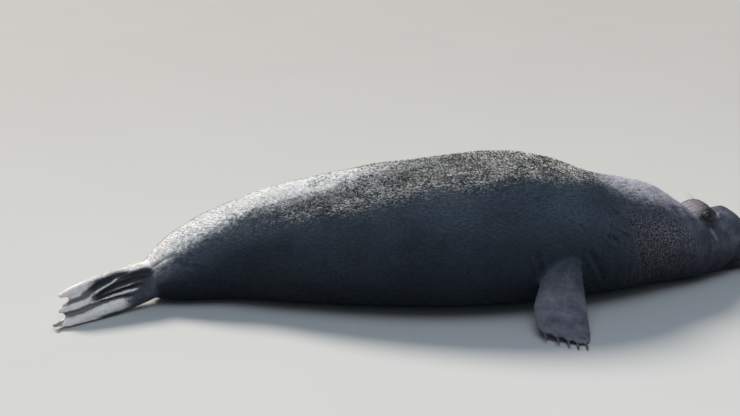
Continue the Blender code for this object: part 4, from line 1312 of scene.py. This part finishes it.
def tuft_shape(name, bend, fork):
    """One flat tapered tuft of unit length, width and rise, lying along +X."""
    mesh = bpy.data.meshes.new(name)
    form = bmesh.new()
    rings = []
    for (x, half, rise), lift in zip(TUFT_SECTIONS, (0.0, bend)):
        shift = fork * x * x
        low, high = rise + lift - TUFT_HALF_RISE, rise + lift + TUFT_HALF_RISE
        ring = [(x, shift - half, low), (x, shift + half, low), (x, shift, high)]
        rings.append([form.verts.new(point) for point in ring])
    tip = form.verts.new((1.0, fork, TUFT_TIP_RISE + bend))
    join_rings(form, *rings)
    for i in range(3):
        form.faces.new((rings[-1][i], rings[-1][(i + 1) % 3], tip))
    form.faces.new(rings[0])
    bmesh.ops.triangulate(form, faces=form.faces)
    bmesh.ops.recalc_face_normals(form, faces=form.faces)
    if form.calc_volume(signed=True) < 0:
        bmesh.ops.reverse_faces(form, faces=form.faces)
    form.to_mesh(mesh)
    form.free()
    patch = [(v.co.x, v.co.y + 0.5, 0.0) for v in mesh.vertices]
    store(mesh, "patch", np.array(patch))
    return new_piece(name, mesh)


# Each tuft's length, width and rise are drawn between these shares of the field's
TUFT_LEAST = (0.70, 0.70, 0.40)
TUFT_MOST = (1.25, 1.3, 1.7)
# How much further a tuft may turn where the crust of sand is full, as a share
CRUST_STRAY = 2.2
# What the coat's seed is raised by for each of its draws
TONE_DRAW, STRAY_DRAW, SIZE_DRAW, SHAPE_DRAW = 11, 23, 37, 51


def coat_tree(prototypes):
    """Geometry Nodes that set tufts over a surface along the lie of the hair."""
    tree = bpy.data.node_groups.new("coat_tufts", "GeometryNodeTree")
    tree.interface.new_socket("Surface", in_out="INPUT", socket_type="NodeSocketGeometry")
    for label, kind, default in (
            ("Density", "NodeSocketFloat", 9000.0), ("Size", "NodeSocketFloat", 1.0),
            ("Stray", "NodeSocketFloat", 0.25), ("Patch", "NodeSocketFloat", 0.003),
            ("Seed", "NodeSocketInt", 1), ("Finish", "NodeSocketMaterial", None)):
        socket = tree.interface.new_socket(label, in_out="INPUT", socket_type=kind)
        if default is not None:
            socket.default_value = default
    tree.interface.new_socket("Coat", in_out="OUTPUT", socket_type="NodeSocketGeometry")
    nodes = Nodes(tree)
    given, out = nodes.add("NodeGroupInput").outputs, nodes.add("NodeGroupOutput")

    def named(label, kind):
        return nodes.add("GeometryNodeInputNamedAttribute", data_type=kind,
                         inputs={"Name": label}).outputs["Attribute"]

    def draw(kind, low, high, offset):
        made = nodes.add("FunctionNodeRandomValue", data_type=kind)
        sockets = [s for s in made.inputs if s.enabled]
        nodes.plug(low, sockets[0])
        nodes.plug(high, sockets[1])
        nodes.plug(nodes.math("ADD", given["Seed"], offset), made.inputs["Seed"])
        return next(s for s in made.outputs if s.enabled)

    spread = nodes.add("GeometryNodeDistributePointsOnFaces", given["Surface"],
                       distribute_method="RANDOM")
    nodes.plug(nodes.math("MULTIPLY", named("tuft_share", "FLOAT"), given["Density"]),
               spread.inputs["Density"])
    nodes.plug(given["Seed"], spread.inputs["Seed"])
    toned = nodes.add("GeometryNodeStoreNamedAttribute", spread, data_type="FLOAT",
                      domain="POINT", inputs={"Name": "tone"})
    nodes.plug(draw("FLOAT", 0.0, 1.0, TONE_DRAW), toned.inputs["Value"])
    sway = nodes.add("ShaderNodeVectorRotate", rotation_type="AXIS_ANGLE")
    nodes.plug(named("lie", "FLOAT_VECTOR"), sway.inputs["Vector"])
    nodes.plug(spread.outputs["Normal"], sway.inputs["Axis"])
    low = nodes.math("MULTIPLY", given["Stray"], -1.0)
    stray = draw("FLOAT", low, given["Stray"], STRAY_DRAW)
    rugged = nodes.math("MULTIPLY_ADD", named("crust", "FLOAT"), CRUST_STRAY, 1.0)
    nodes.plug(nodes.math("MULTIPLY", stray, rugged), sway.inputs["Angle"])
    turn = nodes.add("FunctionNodeAxesToRotation", primary_axis="Z", secondary_axis="X")
    nodes.plug(spread.outputs["Normal"], turn.inputs["Primary Axis"])
    nodes.plug(sway, turn.inputs["Secondary Axis"])
    size = nodes.add("ShaderNodeVectorMath", named("tuft_size", "FLOAT_VECTOR"),
                     draw("FLOAT_VECTOR", TUFT_LEAST, TUFT_MOST, SIZE_DRAW),
                     operation="MULTIPLY")
    size = nodes.add("ShaderNodeVectorMath", size, operation="SCALE")
    nodes.plug(given["Size"], size.inputs["Scale"])
    shapes = nodes.add("GeometryNodeJoinGeometry")
    for prototype in prototypes:
        source = nodes.add("GeometryNodeObjectInfo", inputs={"As Instance": True})
        source.inputs["Object"].default_value = prototype
        nodes.plug(source.outputs["Geometry"], shapes.inputs["Geometry"])
    placed = nodes.add("GeometryNodeInstanceOnPoints", toned)
    nodes.plug(shapes, placed.inputs["Instance"])
    placed.inputs["Pick Instance"].default_value = True
    nodes.plug(draw("INT", 0, len(prototypes) - 1, SHAPE_DRAW),
               placed.inputs["Instance Index"])
    nodes.plug(turn, placed.inputs["Rotation"])
    nodes.plug(size, placed.inputs["Scale"])
    real = nodes.add("GeometryNodeRealizeInstances", placed)
    patch = nodes.add("ShaderNodeVectorMath", named("patch", "FLOAT_VECTOR"),
                      operation="SCALE")
    nodes.plug(given["Patch"], patch.inputs["Scale"])
    laid = nodes.add("ShaderNodeVectorMath", named("unwrap", "FLOAT_VECTOR"), patch,
                     operation="ADD")
    mapped = nodes.add("GeometryNodeStoreNamedAttribute", real, data_type="FLOAT2",
                       domain="CORNER", inputs={"Name": "OFBake"})
    nodes.plug(laid, next(s for s in mapped.inputs if s.enabled and s.name == "Value"))
    finished = nodes.add("GeometryNodeSetMaterial", mapped)
    nodes.plug(given["Finish"], finished.inputs["Material"])
    nodes.plug(finished, out.inputs["Coat"])
    return tree


def grow_coat(surface, tree, values):
    """Run the coat's nodes on a surface and keep the tufts as a plain mesh."""
    host = new_piece(surface.name + "_host", surface)
    modifier = host.modifiers.new("tufts", "NODES")
    modifier.node_group = tree
    sockets = {item.name: item.identifier for item in tree.interface.items_tree
               if item.in_out == "INPUT"}
    for label, value in values.items():
        modifier[sockets[label]] = value
    mesh = evaluated_mesh(host)
    host.modifiers.clear()
    bpy.data.objects.remove(host)
    for field in ("tuft_size", "tuft_share", "lie", "unwrap", "patch"):
        if field in mesh.attributes:
            mesh.attributes.remove(mesh.attributes[field])
    return mesh


# Pieces of the coat: name, start and end along the spine, side (0 is both)
COAT_LENGTHS = [
    ("coat_rump", -0.9, RUMP_S, 0),
    ("coat_waist_right", RUMP_S, WAIST_S, -1), ("coat_waist_left", RUMP_S, WAIST_S, 1),
    ("coat_chest_right", WAIST_S, SHOULDER_S, -1), ("coat_chest_left", WAIST_S, SHOULDER_S, 1),
    ("coat_shoulder_right", SHOULDER_S, NECK_S, -1),
    ("coat_shoulder_left", SHOULDER_S, NECK_S, 1),
    ("coat_neck_right", NECK_S, NAPE_S, -1), ("coat_neck_left", NECK_S, NAPE_S, 1),
    ("coat_head", NAPE_S, 4.2, 0),
]


def tube(form, path, radii, sides=6):
    """Closed tapered tube through points, as faces in a bmesh form."""
    rings = []
    for i, (point, radius) in enumerate(zip(path, radii)):
        ahead = path[min(i + 1, len(path) - 1)] - path[max(i - 1, 0)]
        rings.append(ring_of_vertices(form, point, ahead, radius, sides))
    for near, far in zip(rings, rings[1:]):
        join_rings(form, near, far)
    form.faces.new(list(reversed(rings[0])))
    form.faces.new(rings[-1])


def ring_tube(form, path, radius, sides=8):
    """Closed ring of tube through points that come back to the first."""
    ahead = [after - before for before, after in zip(path[-1:] + path, path[1:] + path[:1])]
    rings = [ring_of_vertices(form, point, way, radius, sides)
             for point, way in zip(path, ahead)]
    for near, far in zip(rings, rings[1:] + rings[:1]):
        join_rings(form, near, far)


def finished_mesh(form, name):
    """Mesh of a bmesh form whose closed surfaces all face outwards."""
    bmesh.ops.recalc_face_normals(form, faces=form.faces)
    mesh = bpy.data.meshes.new(name)
    form.to_mesh(mesh)
    form.free()
    return mesh


def eye_mesh(name, eye):
    """Eyeball with a slight cornea, and each vertex's angle from the eye's axis."""
    middle, ball, out, forward, up = eye
    mesh = bpy.data.meshes.new(name)
    form = bmesh.new()
    bmesh.ops.create_uvsphere(form, u_segments=64, v_segments=40, radius=1.0)
    away = []
    for vert in form.verts:
        unit = vert.co.normalized()
        angle = unit.angle(Vector((0, 0, 1)), 0.0)
        cornea = CORNEA_RISE * math.exp(-(angle / CORNEA_SPREAD) ** 2)
        radius = ball * (BALL_SHARE + cornea)
        vert.co = middle + (forward * unit.x + up * unit.y + out * unit.z) * radius
        away.append(angle)
    bmesh.ops.recalc_face_normals(form, faces=form.faces)
    form.to_mesh(mesh)
    form.free()
    store(mesh, "iris", np.array(away))
    return mesh


def lid_margin(eye, measure, reach, steps=72):
    """Points round the lid margin of an eye."""
    middle, ball, out, forward, up = eye
    points = []
    for k in range(steps):
        angle = 2 * math.pi * k / steps
        half_height = LID_UPPER if math.sin(angle) > 0 else LID_LOWER
        u = measure * LID_HALF_LENGTH * math.cos(angle) / ball
        v = measure * half_height * math.sin(angle) / ball
        w = math.sqrt(max(1 - u * u - v * v, 0.05))
        points.append(middle + (forward * u + up * v + out * w) * (ball * reach))
    return points


def eye_material():
    """Wet, nearly black eye with a dark brown iris."""
    made, nodes, shader = new_material("eye_wet")
    away = nodes.field("iris").outputs["Fac"]
    place = nodes.add("ShaderNodeTexCoord").outputs["Object"]
    fleck = nodes.noise(place, 420.0, 3.0, 0.6)
    shades = bpy.context.scene.seal_eyes
    iris = nodes.mix(nodes.ramp(fleck, 0.35, 0.7), rgba(shades.iris_dark),
                     rgba(shades.iris_light))
    colour = nodes.mix(nodes.ramp(away, *PUPIL_END), rgba(shades.pupil), iris)
    colour = nodes.mix(nodes.ramp(away, *IRIS_END), colour, rgba(shades.rim))
    nodes.plug(colour, shader.inputs["Base Color"])
    nodes.plug(nodes.math("MULTIPLY_ADD", fleck, 0.03, 0.5), shader.inputs["Roughness"])
    set_values(shader, {"Coat Weight": 0.45, "Coat Roughness": 0.03,
                        "Specular IOR Level": 0.25})
    return made


def grained_material(name, colour, roughness):
    """Dark moist skin, horn or whisker with a fine grain."""
    made, nodes, shader = new_material(name)
    place = nodes.add("ShaderNodeTexCoord").outputs["Object"]
    broad = nodes.noise(place, 60.0, 3.0, 0.6)
    fine = nodes.noise(place, 700.0, 2.0, 0.6)
    lighter = tuple(min(1.0, 2.1 * c + 0.01) for c in colour[:3]) + (1.0,)
    nodes.plug(nodes.mix(nodes.ramp(broad, 0.35, 0.75), rgba(colour), lighter),
               shader.inputs["Base Color"])
    uneven = nodes.math("MULTIPLY_ADD", fine, 0.22, roughness)
    nodes.plug(uneven, shader.inputs["Roughness"])
    height = nodes.math("MULTIPLY", fine, HORN_GRAIN_HEIGHT)
    nodes.plug(nodes.bump(height), shader.inputs["Normal"])
    return made


# Height of the growth lines on a claw
CLAW_LINE_HEIGHT = 0.0003


def claw_mesh(name):
    """The CAD claw's shape with a finer surface and growth lines."""
    coarse = new_piece(name + "_coarse", mesh_of_nodes((name,)))
    form = bmesh.new()
    form.from_mesh(coarse.data)
    bmesh.ops.join_triangles(form, faces=form.faces, angle_face_threshold=0.7,
                             angle_shape_threshold=0.7)
    form.to_mesh(coarse.data)
    form.free()
    smooth = coarse.modifiers.new("smooth", "SUBSURF")
    smooth.levels = 2
    smooth.render_levels = 2
    mesh = evaluated_mesh(coarse)
    coarse.modifiers.clear()
    bpy.data.objects.remove(coarse)
    points = read_points(mesh)
    normals = read_normals(mesh)
    lines = rough(points * np.array([1.0, 1.0, 2.0]), 320, 40)
    write_points(mesh, points + normals * (CLAW_LINE_HEIGHT * lines)[:, None])
    return mesh


class SealCoatSettings(bpy.types.PropertyGroup):
    """Sizes of the hair."""
    depth: FloatProperty(name="Coat depth", description="How far the skin lies in the solids",
                         default=0.002, unit="LENGTH")
    density: FloatProperty(name="Tufts a square metre", default=23000.0,
                           description="Where the coat is at its usual thickness")
    size: FloatProperty(name="Tuft size", description="Scale of every tuft", default=1.0)
    stray: FloatProperty(name="Stray", description="How far tufts turn from the lie",
                         default=0.22, subtype="ANGLE")
    patch: FloatProperty(name="Bake patch", default=0.003,
                         description="Size of each tuft's patch on the coat's map")
    seed: IntProperty(name="Seed", description="Seed of the random draws", default=7)


def shade(label, text, value):
    return FloatVectorProperty(name=label, description=text, default=value, size=3,
                               subtype="COLOR", min=0.0, max=1.0)


class SealHideSettings(bpy.types.PropertyGroup):
    """Colours of the hide."""
    # The flank's dark tone, with a blue cast that is painted sky shade
    flank_dark: shade("Flank, dark", "Dark slate of the flank", (0.016, 0.026, 0.038))
    flank_light: shade("Flank, light", "Lighter drift of the flank", (0.030, 0.044, 0.060))
    # Dust in the hair of the upper flank, with painted skylight
    dust_and_skylight: shade("Flank, dusty", "Dust in the hair of the upper flank", (0.062, 0.080, 0.104))
    # Painted shade of the lower flank and the hind flippers
    low_shade: shade("Belly", "Dark lower flank", (0.004, 0.008, 0.015))
    # Painted shade at the bottom of creases and in the shield's wrinkle grooves
    crease_shade: shade("Furrow", "Bottom of creases", (0.010, 0.010, 0.014))
    shield: shade("Shield", "Worn hide of the chest", (0.240, 0.232, 0.266))
    # Pale folds of the nape: dry skin, partly painted sunlight
    nape: shade("Nape", "Dry folds of the nape", (0.620, 0.580, 0.610))
    limb_dark: shade("Flipper, dark", "Shaded skin of the flippers", (0.060, 0.062, 0.080))
    limb_light: shade("Flipper, light", "Dry skin of the flippers", (0.200, 0.195, 0.222))
    face_dark: shade("Face, dark", "Dark hair of the face", (0.042, 0.045, 0.066))
    face_light: shade("Face, light", "Lighter hair of the face", (0.142, 0.140, 0.178))
    # Lighter brown of the top of the head, partly a painted highlight
    crown_and_highlight: shade("Crown", "Brown of the crown", (0.260, 0.205, 0.185))
    # Pale shades: sun-faded, sandy hair with a painted sunlit sheen, and hind lobes with
    # painted sunlight
    bleached_and_sheen: shade("Bleached hair", "Sun-bleached hair of the back", (0.80, 0.77, 0.74))
    dust_and_sheen: shade("Dusted hair", "Hair with dry sand in it", (0.92, 0.90, 0.86))
    lobe_dust_and_sunlight: shade("Hind lobes", "Dry pale skin of the hind flippers", (0.960, 0.880, 0.820))
    gap: shade("Gap", "Between clods of sand", (0.022, 0.023, 0.026))
    sand: shade("Sand", "Caked sand", (0.296, 0.274, 0.242))
    sand_light: shade("Sand, light", "Dry caked sand", (0.750, 0.695, 0.615))
    # Dried track under the eye, also the colour of the painted glint in front of it
    track: shade("Tear track", "Dried track under the eye", (0.620, 0.600, 0.600))
    wet: shade("Wet hair", "Wet hair round the eye", (0.008, 0.008, 0.011))


class SealEyeSettings(bpy.types.PropertyGroup):
    """Colours and sizes of the eyes and lids."""
    pupil: shade("Pupil", "Pupil", (0.002, 0.002, 0.003))
    iris_dark: shade("Iris, dark", "Outer iris", (0.004, 0.004, 0.006))
    iris_light: shade("Iris, light", "Flecks of the iris", (0.012, 0.010, 0.011))
    rim: shade("Rim", "Edge of the eyeball", (0.010, 0.009, 0.011))
    lid: shade("Lid", "Moist lid margin", (0.014, 0.012, 0.014))
    lid_radius: FloatProperty(name="Lid margin", description="Radius of the moist margin",
                              default=0.0019, unit="LENGTH")


class SealHornSettings(bpy.types.PropertyGroup):
    """Claws and whiskers."""
    claw: shade("Claw", "Horn of the claws", (0.040, 0.034, 0.032))
    whisker: shade("Whisker", "Whiskers", (0.060, 0.052, 0.046))
    whisker_length: FloatProperty(name="Whisker length", default=0.120, unit="LENGTH",
                                  description="Length of the longest whiskers")
    whisker_radius: FloatProperty(name="Whisker radius", default=0.0011, unit="LENGTH",
                                  description="Radius of a whisker at its root")


class SealStageSettings(bpy.types.PropertyGroup):
    """Floor, lights and camera."""
    floor: shade("Floor", "Pale floor", (0.50, 0.487, 0.465))
    wall: shade("Wall", "Pale wall behind the floor", (0.560, 0.550, 0.530))
    camera_place: FloatVectorProperty(name="Camera", description="Place of the camera",
                                      default=(-0.35595, -8.27668, 3.01), size=3,
                                      subtype="TRANSLATION", unit="LENGTH")
    camera_tilt: FloatProperty(name="Camera tilt", default=math.radians(73.0),
                               description="Turn from straight down", subtype="ANGLE")
    lens: FloatProperty(name="Lens", description="Focal length", default=71.4,
                        subtype="DISTANCE_CAMERA")
    key: FloatProperty(name="Key light", default=4.5,
                       description="Strength of the wide light behind the seal")
    key_spread: FloatProperty(name="Key spread", description="Width of the key light",
                              default=math.radians(18.0), subtype="ANGLE")
    panel: FloatProperty(name="Panel light", description="Power of the panel overhead",
                         default=190.0, unit="POWER")
    sky: FloatProperty(name="Room light", description="Strength of the even light",
                       default=0.27)


# Floor: its size, and the share of its colour that its darker drifts have
FLOOR_SIZE = 40.0
DRIFT_SHARE = 0.94
# Lamps: where each stands and its colour, the panel's size, and the point they aim at
KEY_PLACE = (-4.9, 6.2, 6.5)
KEY_COLOUR = (1.0, 0.955, 0.885)
PANEL_PLACE = (0.3, -2.2, 6.5)
PANEL_COLOUR = (0.74, 0.86, 1.0)
PANEL_SIZE = 6.0
LAMPS_AIM = (0.0, 0.0, 0.3)
ROOM_COLOUR = (0.66, 0.82, 1.0)
# Camera: its sensor in millimetres, and how far it sees
SENSOR_WIDTH = 36.0
VIEW_END = 200.0


class SEAL_OT_stage(bpy.types.Operator):
    """Pale floor, soft lights and the camera of the photograph"""
    bl_idname = "seal.stage"
    bl_label = "Stage"

    def execute(self, context):
        wish = context.scene.seal_stage
        mesh = bpy.data.meshes.new("floor")
        form = bmesh.new()
        bmesh.ops.create_grid(form, x_segments=1, y_segments=1, size=FLOOR_SIZE)
        form.to_mesh(mesh)
        form.free()
        made, nodes, shader = new_material("pale_floor")
        place = nodes.add("ShaderNodeTexCoord").outputs["Object"]
        drift = nodes.noise(place, 0.7, 2.0, 0.5)
        darker = rgba([DRIFT_SHARE * c for c in wish.floor])
        nodes.plug(nodes.mix(drift, darker, rgba(wish.floor)), shader.inputs["Base Color"])
        shader.inputs["Roughness"].default_value = 0.85
        new_piece("floor", mesh, made)
        key = self.lamp("key", "SUN", KEY_PLACE, wish.key, KEY_COLOUR)
        key.angle = wish.key_spread
        panel = self.lamp("panel", "AREA", PANEL_PLACE, wish.panel, PANEL_COLOUR)
        panel.shape = "DISK"
        panel.size = PANEL_SIZE
        world = bpy.data.worlds.new("room")
        world.use_nodes = True
        back = world.node_tree.nodes["Background"]
        back.inputs["Color"].default_value = rgba(ROOM_COLOUR)
        back.inputs["Strength"].default_value = wish.sky
        # The camera sees a pale wall where the floor ends; the light stays the room's
        nodes = Nodes(world.node_tree)
        wall = nodes.add("ShaderNodeBackground", rgba(wish.wall))
        seen = nodes.add("ShaderNodeLightPath").outputs["Is Camera Ray"]
        either = nodes.add("ShaderNodeMixShader", seen, back, wall)
        nodes.plug(either, world.node_tree.nodes["World Output"].inputs["Surface"])
        context.scene.world = world
        data = bpy.data.cameras.new("camera")
        data.lens = wish.lens
        data.sensor_width = SENSOR_WIDTH
        data.clip_end = VIEW_END
        camera = bpy.data.objects.new("camera", data)
        camera.location = wish.camera_place
        camera.rotation_euler = Euler((wish.camera_tilt, 0.0, 0.0))
        context.collection.objects.link(camera)
        context.scene.camera = camera
        context.scene.view_settings.view_transform = "Standard"
        return {"FINISHED"}

    def lamp(self, name, kind, place, power, colour):
        """New lamp that shines towards the middle of the seal."""
        data = bpy.data.lights.new(name, kind)
        data.energy = power
        data.color = colour
        made = bpy.data.objects.new(name, data)
        made.location = place
        toward = Vector(LAMPS_AIM) - Vector(place)
        made.rotation_euler = toward.to_track_quat("-Z", "Y").to_euler()
        bpy.context.collection.objects.link(made)
        return data


class SEAL_OT_finishes(bpy.types.Operator):
    """Shared node groups and the materials of hide and coat"""
    bl_idname = "seal.finishes"
    bl_label = "Finishes"

    def execute(self, context):
        fur_grain_group()
        clods_group()
        wrinkles_group()
        hide_tone_group(context.scene.seal_hide)
        hide_material("hide", False)
        hide_material("coat", True)
        return {"FINISHED"}


class SEAL_OT_skin(bpy.types.Operator):
    """One skin over trunk, head and flippers"""
    bl_idname = "seal.skin"
    bl_label = "Skin"

    def execute(self, context):
        skin = new_piece("skin", make_skin_mesh(), bpy.data.materials["hide"])
        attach(skin, BODY)
        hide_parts(*FLESH)
        return {"FINISHED"}


class SEAL_OT_eyes(bpy.types.Operator):
    """Wet eyeballs and the moist margins of their lids"""
    bl_idname = "seal.eyes"
    bl_label = "Eyes"

    def execute(self, context):
        wish = context.scene.seal_eyes
        wet = eye_material()
        moist = grained_material("lid_margin", wish.lid, 0.12)
        for name, sign in EYE_SIDES:
            eye = eye_axes(name, sign)
            ball = new_piece(name + "_ball", eye_mesh(name, eye), wet)
            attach(ball, BODY)
            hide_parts(name)
            form = bmesh.new()
            ring_tube(form, lid_margin(eye, 1.02, 1.045), wish.lid_radius)
            margin = new_piece(name + "_lid_margin", finished_mesh(form, name), moist)
            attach(margin, BODY)
        return {"FINISHED"}


class SEAL_OT_claws(bpy.types.Operator):
    """Claws of the fore flippers"""
    bl_idname = "seal.claws"
    bl_label = "Claws"

    def execute(self, context):
        horn = grained_material("claw_horn", context.scene.seal_horn.claw, 0.32)
        for name in [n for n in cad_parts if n.startswith("claw_")]:
            claw = new_piece(name + "_horn", claw_mesh(name), horn)
            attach(claw, BODY)
            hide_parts(name)
        return {"FINISHED"}


class SEAL_OT_whiskers(bpy.types.Operator):
    """Whiskers of the snout and over the eyes"""
    bl_idname = "seal.whiskers"
    bl_label = "Whiskers"

    def execute(self, context):
        wish = context.scene.seal_horn
        finish = grained_material("whisker", wish.whisker, 0.35)
        skin = bpy.data.objects["skin"]
        tree = BVHTree.FromObject(skin, context.evaluated_depsgraph_get())
        for label, sign in SIDES:
            form = bmesh.new()
            for row, column, s, z in whisker_places():
                length = wish.whisker_length * (1.0 - 0.09 * column - 0.05 * row)
                root = self.root(tree, SPINE.bend(s, sign * 0.6, z),
                                 SPINE.direction(s, 0.0, -sign, 0.0))
                run = SPINE.direction(s, -0.35 - 0.06 * column, sign * 0.9,
                                      -0.15 - 0.04 * row)
                self.hair(form, root, run, length, wish.whisker_radius, WHISKER_DROOP)
            for s, side in BROW_WHISKERS:
                root = self.root(tree, SPINE.bend(s, sign * side, 1.0), Vector((0, 0, -1)))
                run = SPINE.direction(s, -0.45, sign * 0.55, 0.75)
                self.hair(form, root, run, 0.55 * wish.whisker_length,
                          0.75 * wish.whisker_radius, BROW_DROOP)
            hairs = new_piece("whiskers_" + label, finished_mesh(form, label), finish)
            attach(hairs, BODY)
        return {"FINISHED"}

    def root(self, tree, start, way):
        """Where a ray meets the skin."""
        found = tree.ray_cast(start, way)[0]
        if found is None:
            raise RuntimeError("a whisker finds no skin")
        return found

    def hair(self, form, root, run, length, radius, droop, steps=7):
        """One tapered, drooping hair."""
        path, radii = [], []
        for k in range(steps + 1):
            t = k / steps
            point = root + run * (length * (t - 0.05)) + Vector((0, 0, -droop * t * t))
            point.z = max(point.z, 0.004)
            path.append(point)
            radii.append(radius * (1 - 0.85 * t))
        tube(form, path, radii)


class SEAL_OT_coat(bpy.types.Operator):
    """Flat tufts of short hair over the skin, with sand caked in them on the back"""
    bl_idname = "seal.coat"
    bl_label = "Coat"

    def execute(self, context):
        wish = context.scene.seal_coat
        skin = bpy.data.objects["skin"]
        prototypes = [tuft_shape("tuft_a", 0.0, 0.0), tuft_shape("tuft_b", 0.25, 0.30),
                      tuft_shape("tuft_c", -0.2, -0.34)]
        tree = coat_tree(prototypes)
        points, triangles = read_points(skin.data), read_triangles(skin.data)
        middle = points[triangles].mean(axis=1)
        s, side, _ = SPINE.straighten(middle)
        limbs = np.zeros(len(middle), bool)
        for name in FORE:
            limbs |= inside_box(middle, name, 0.0) & (np.abs(side) > FORE_COAT_SIDE)
        chosen = [(name, (s >= start) & (s < end) & ~limbs & (side * way >= 0))
                  for name, start, end, way in COAT_LENGTHS]
        chosen.append(("coat_fore_flippers", limbs))
        for index, (name, faces) in enumerate(chosen):
            surface = piece_of_skin(skin, name, faces)
            mesh = grow_coat(surface, tree, {
                "Density": wish.density, "Size": wish.size, "Stray": wish.stray,
                "Patch": wish.patch, "Seed": wish.seed + 100 * index,
                "Finish": bpy.data.materials["coat"]})
            mesh.name = name
            piece = new_piece(name, mesh)
            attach(piece, BODY)
        for prototype in prototypes:
            bpy.data.objects.remove(prototype)
        return {"FINISHED"}


class SEAL_PT_panel(bpy.types.Panel):
    """The seal's pieces, in the order they are made"""
    bl_idname = "SEAL_PT_panel"
    bl_label = "Elephant Seal"
    bl_space_type = "VIEW_3D"
    bl_region_type = "UI"
    bl_category = "Seal"

    def draw(self, context):
        layout = self.layout
        for operator in OPERATORS:
            layout.operator(operator.bl_idname)
        for name in SETTINGS:
            settings = getattr(context.scene, name)
            box = layout.box()
            for label in settings.bl_rna.properties.keys():
                if label not in ("rna_type", "name"):
                    box.prop(settings, label)


OPERATORS = (SEAL_OT_stage, SEAL_OT_finishes, SEAL_OT_skin, SEAL_OT_eyes, SEAL_OT_claws,
             SEAL_OT_whiskers, SEAL_OT_coat)
SETTINGS = {
    "seal_coat": SealCoatSettings, "seal_hide": SealHideSettings,
    "seal_eyes": SealEyeSettings, "seal_horn": SealHornSettings,
    "seal_stage": SealStageSettings,
}


def register():
    for made in (*SETTINGS.values(), *OPERATORS, SEAL_PT_panel):
        bpy.utils.register_class(made)
    for name, made in SETTINGS.items():
        setattr(bpy.types.Scene, name, PointerProperty(type=made))


def unregister():
    for name in SETTINGS:
        delattr(bpy.types.Scene, name)
    for made in (SEAL_PT_panel, *reversed(OPERATORS), *SETTINGS.values()):
        bpy.utils.unregister_class(made)


def main():
    register()
    bpy.ops.seal.stage()
    bpy.ops.seal.finishes()
    bpy.ops.seal.skin()
    bpy.ops.seal.eyes()
    bpy.ops.seal.claws()
    bpy.ops.seal.whiskers()
    bpy.ops.seal.coat()


if __name__ == "__main__":
    main()
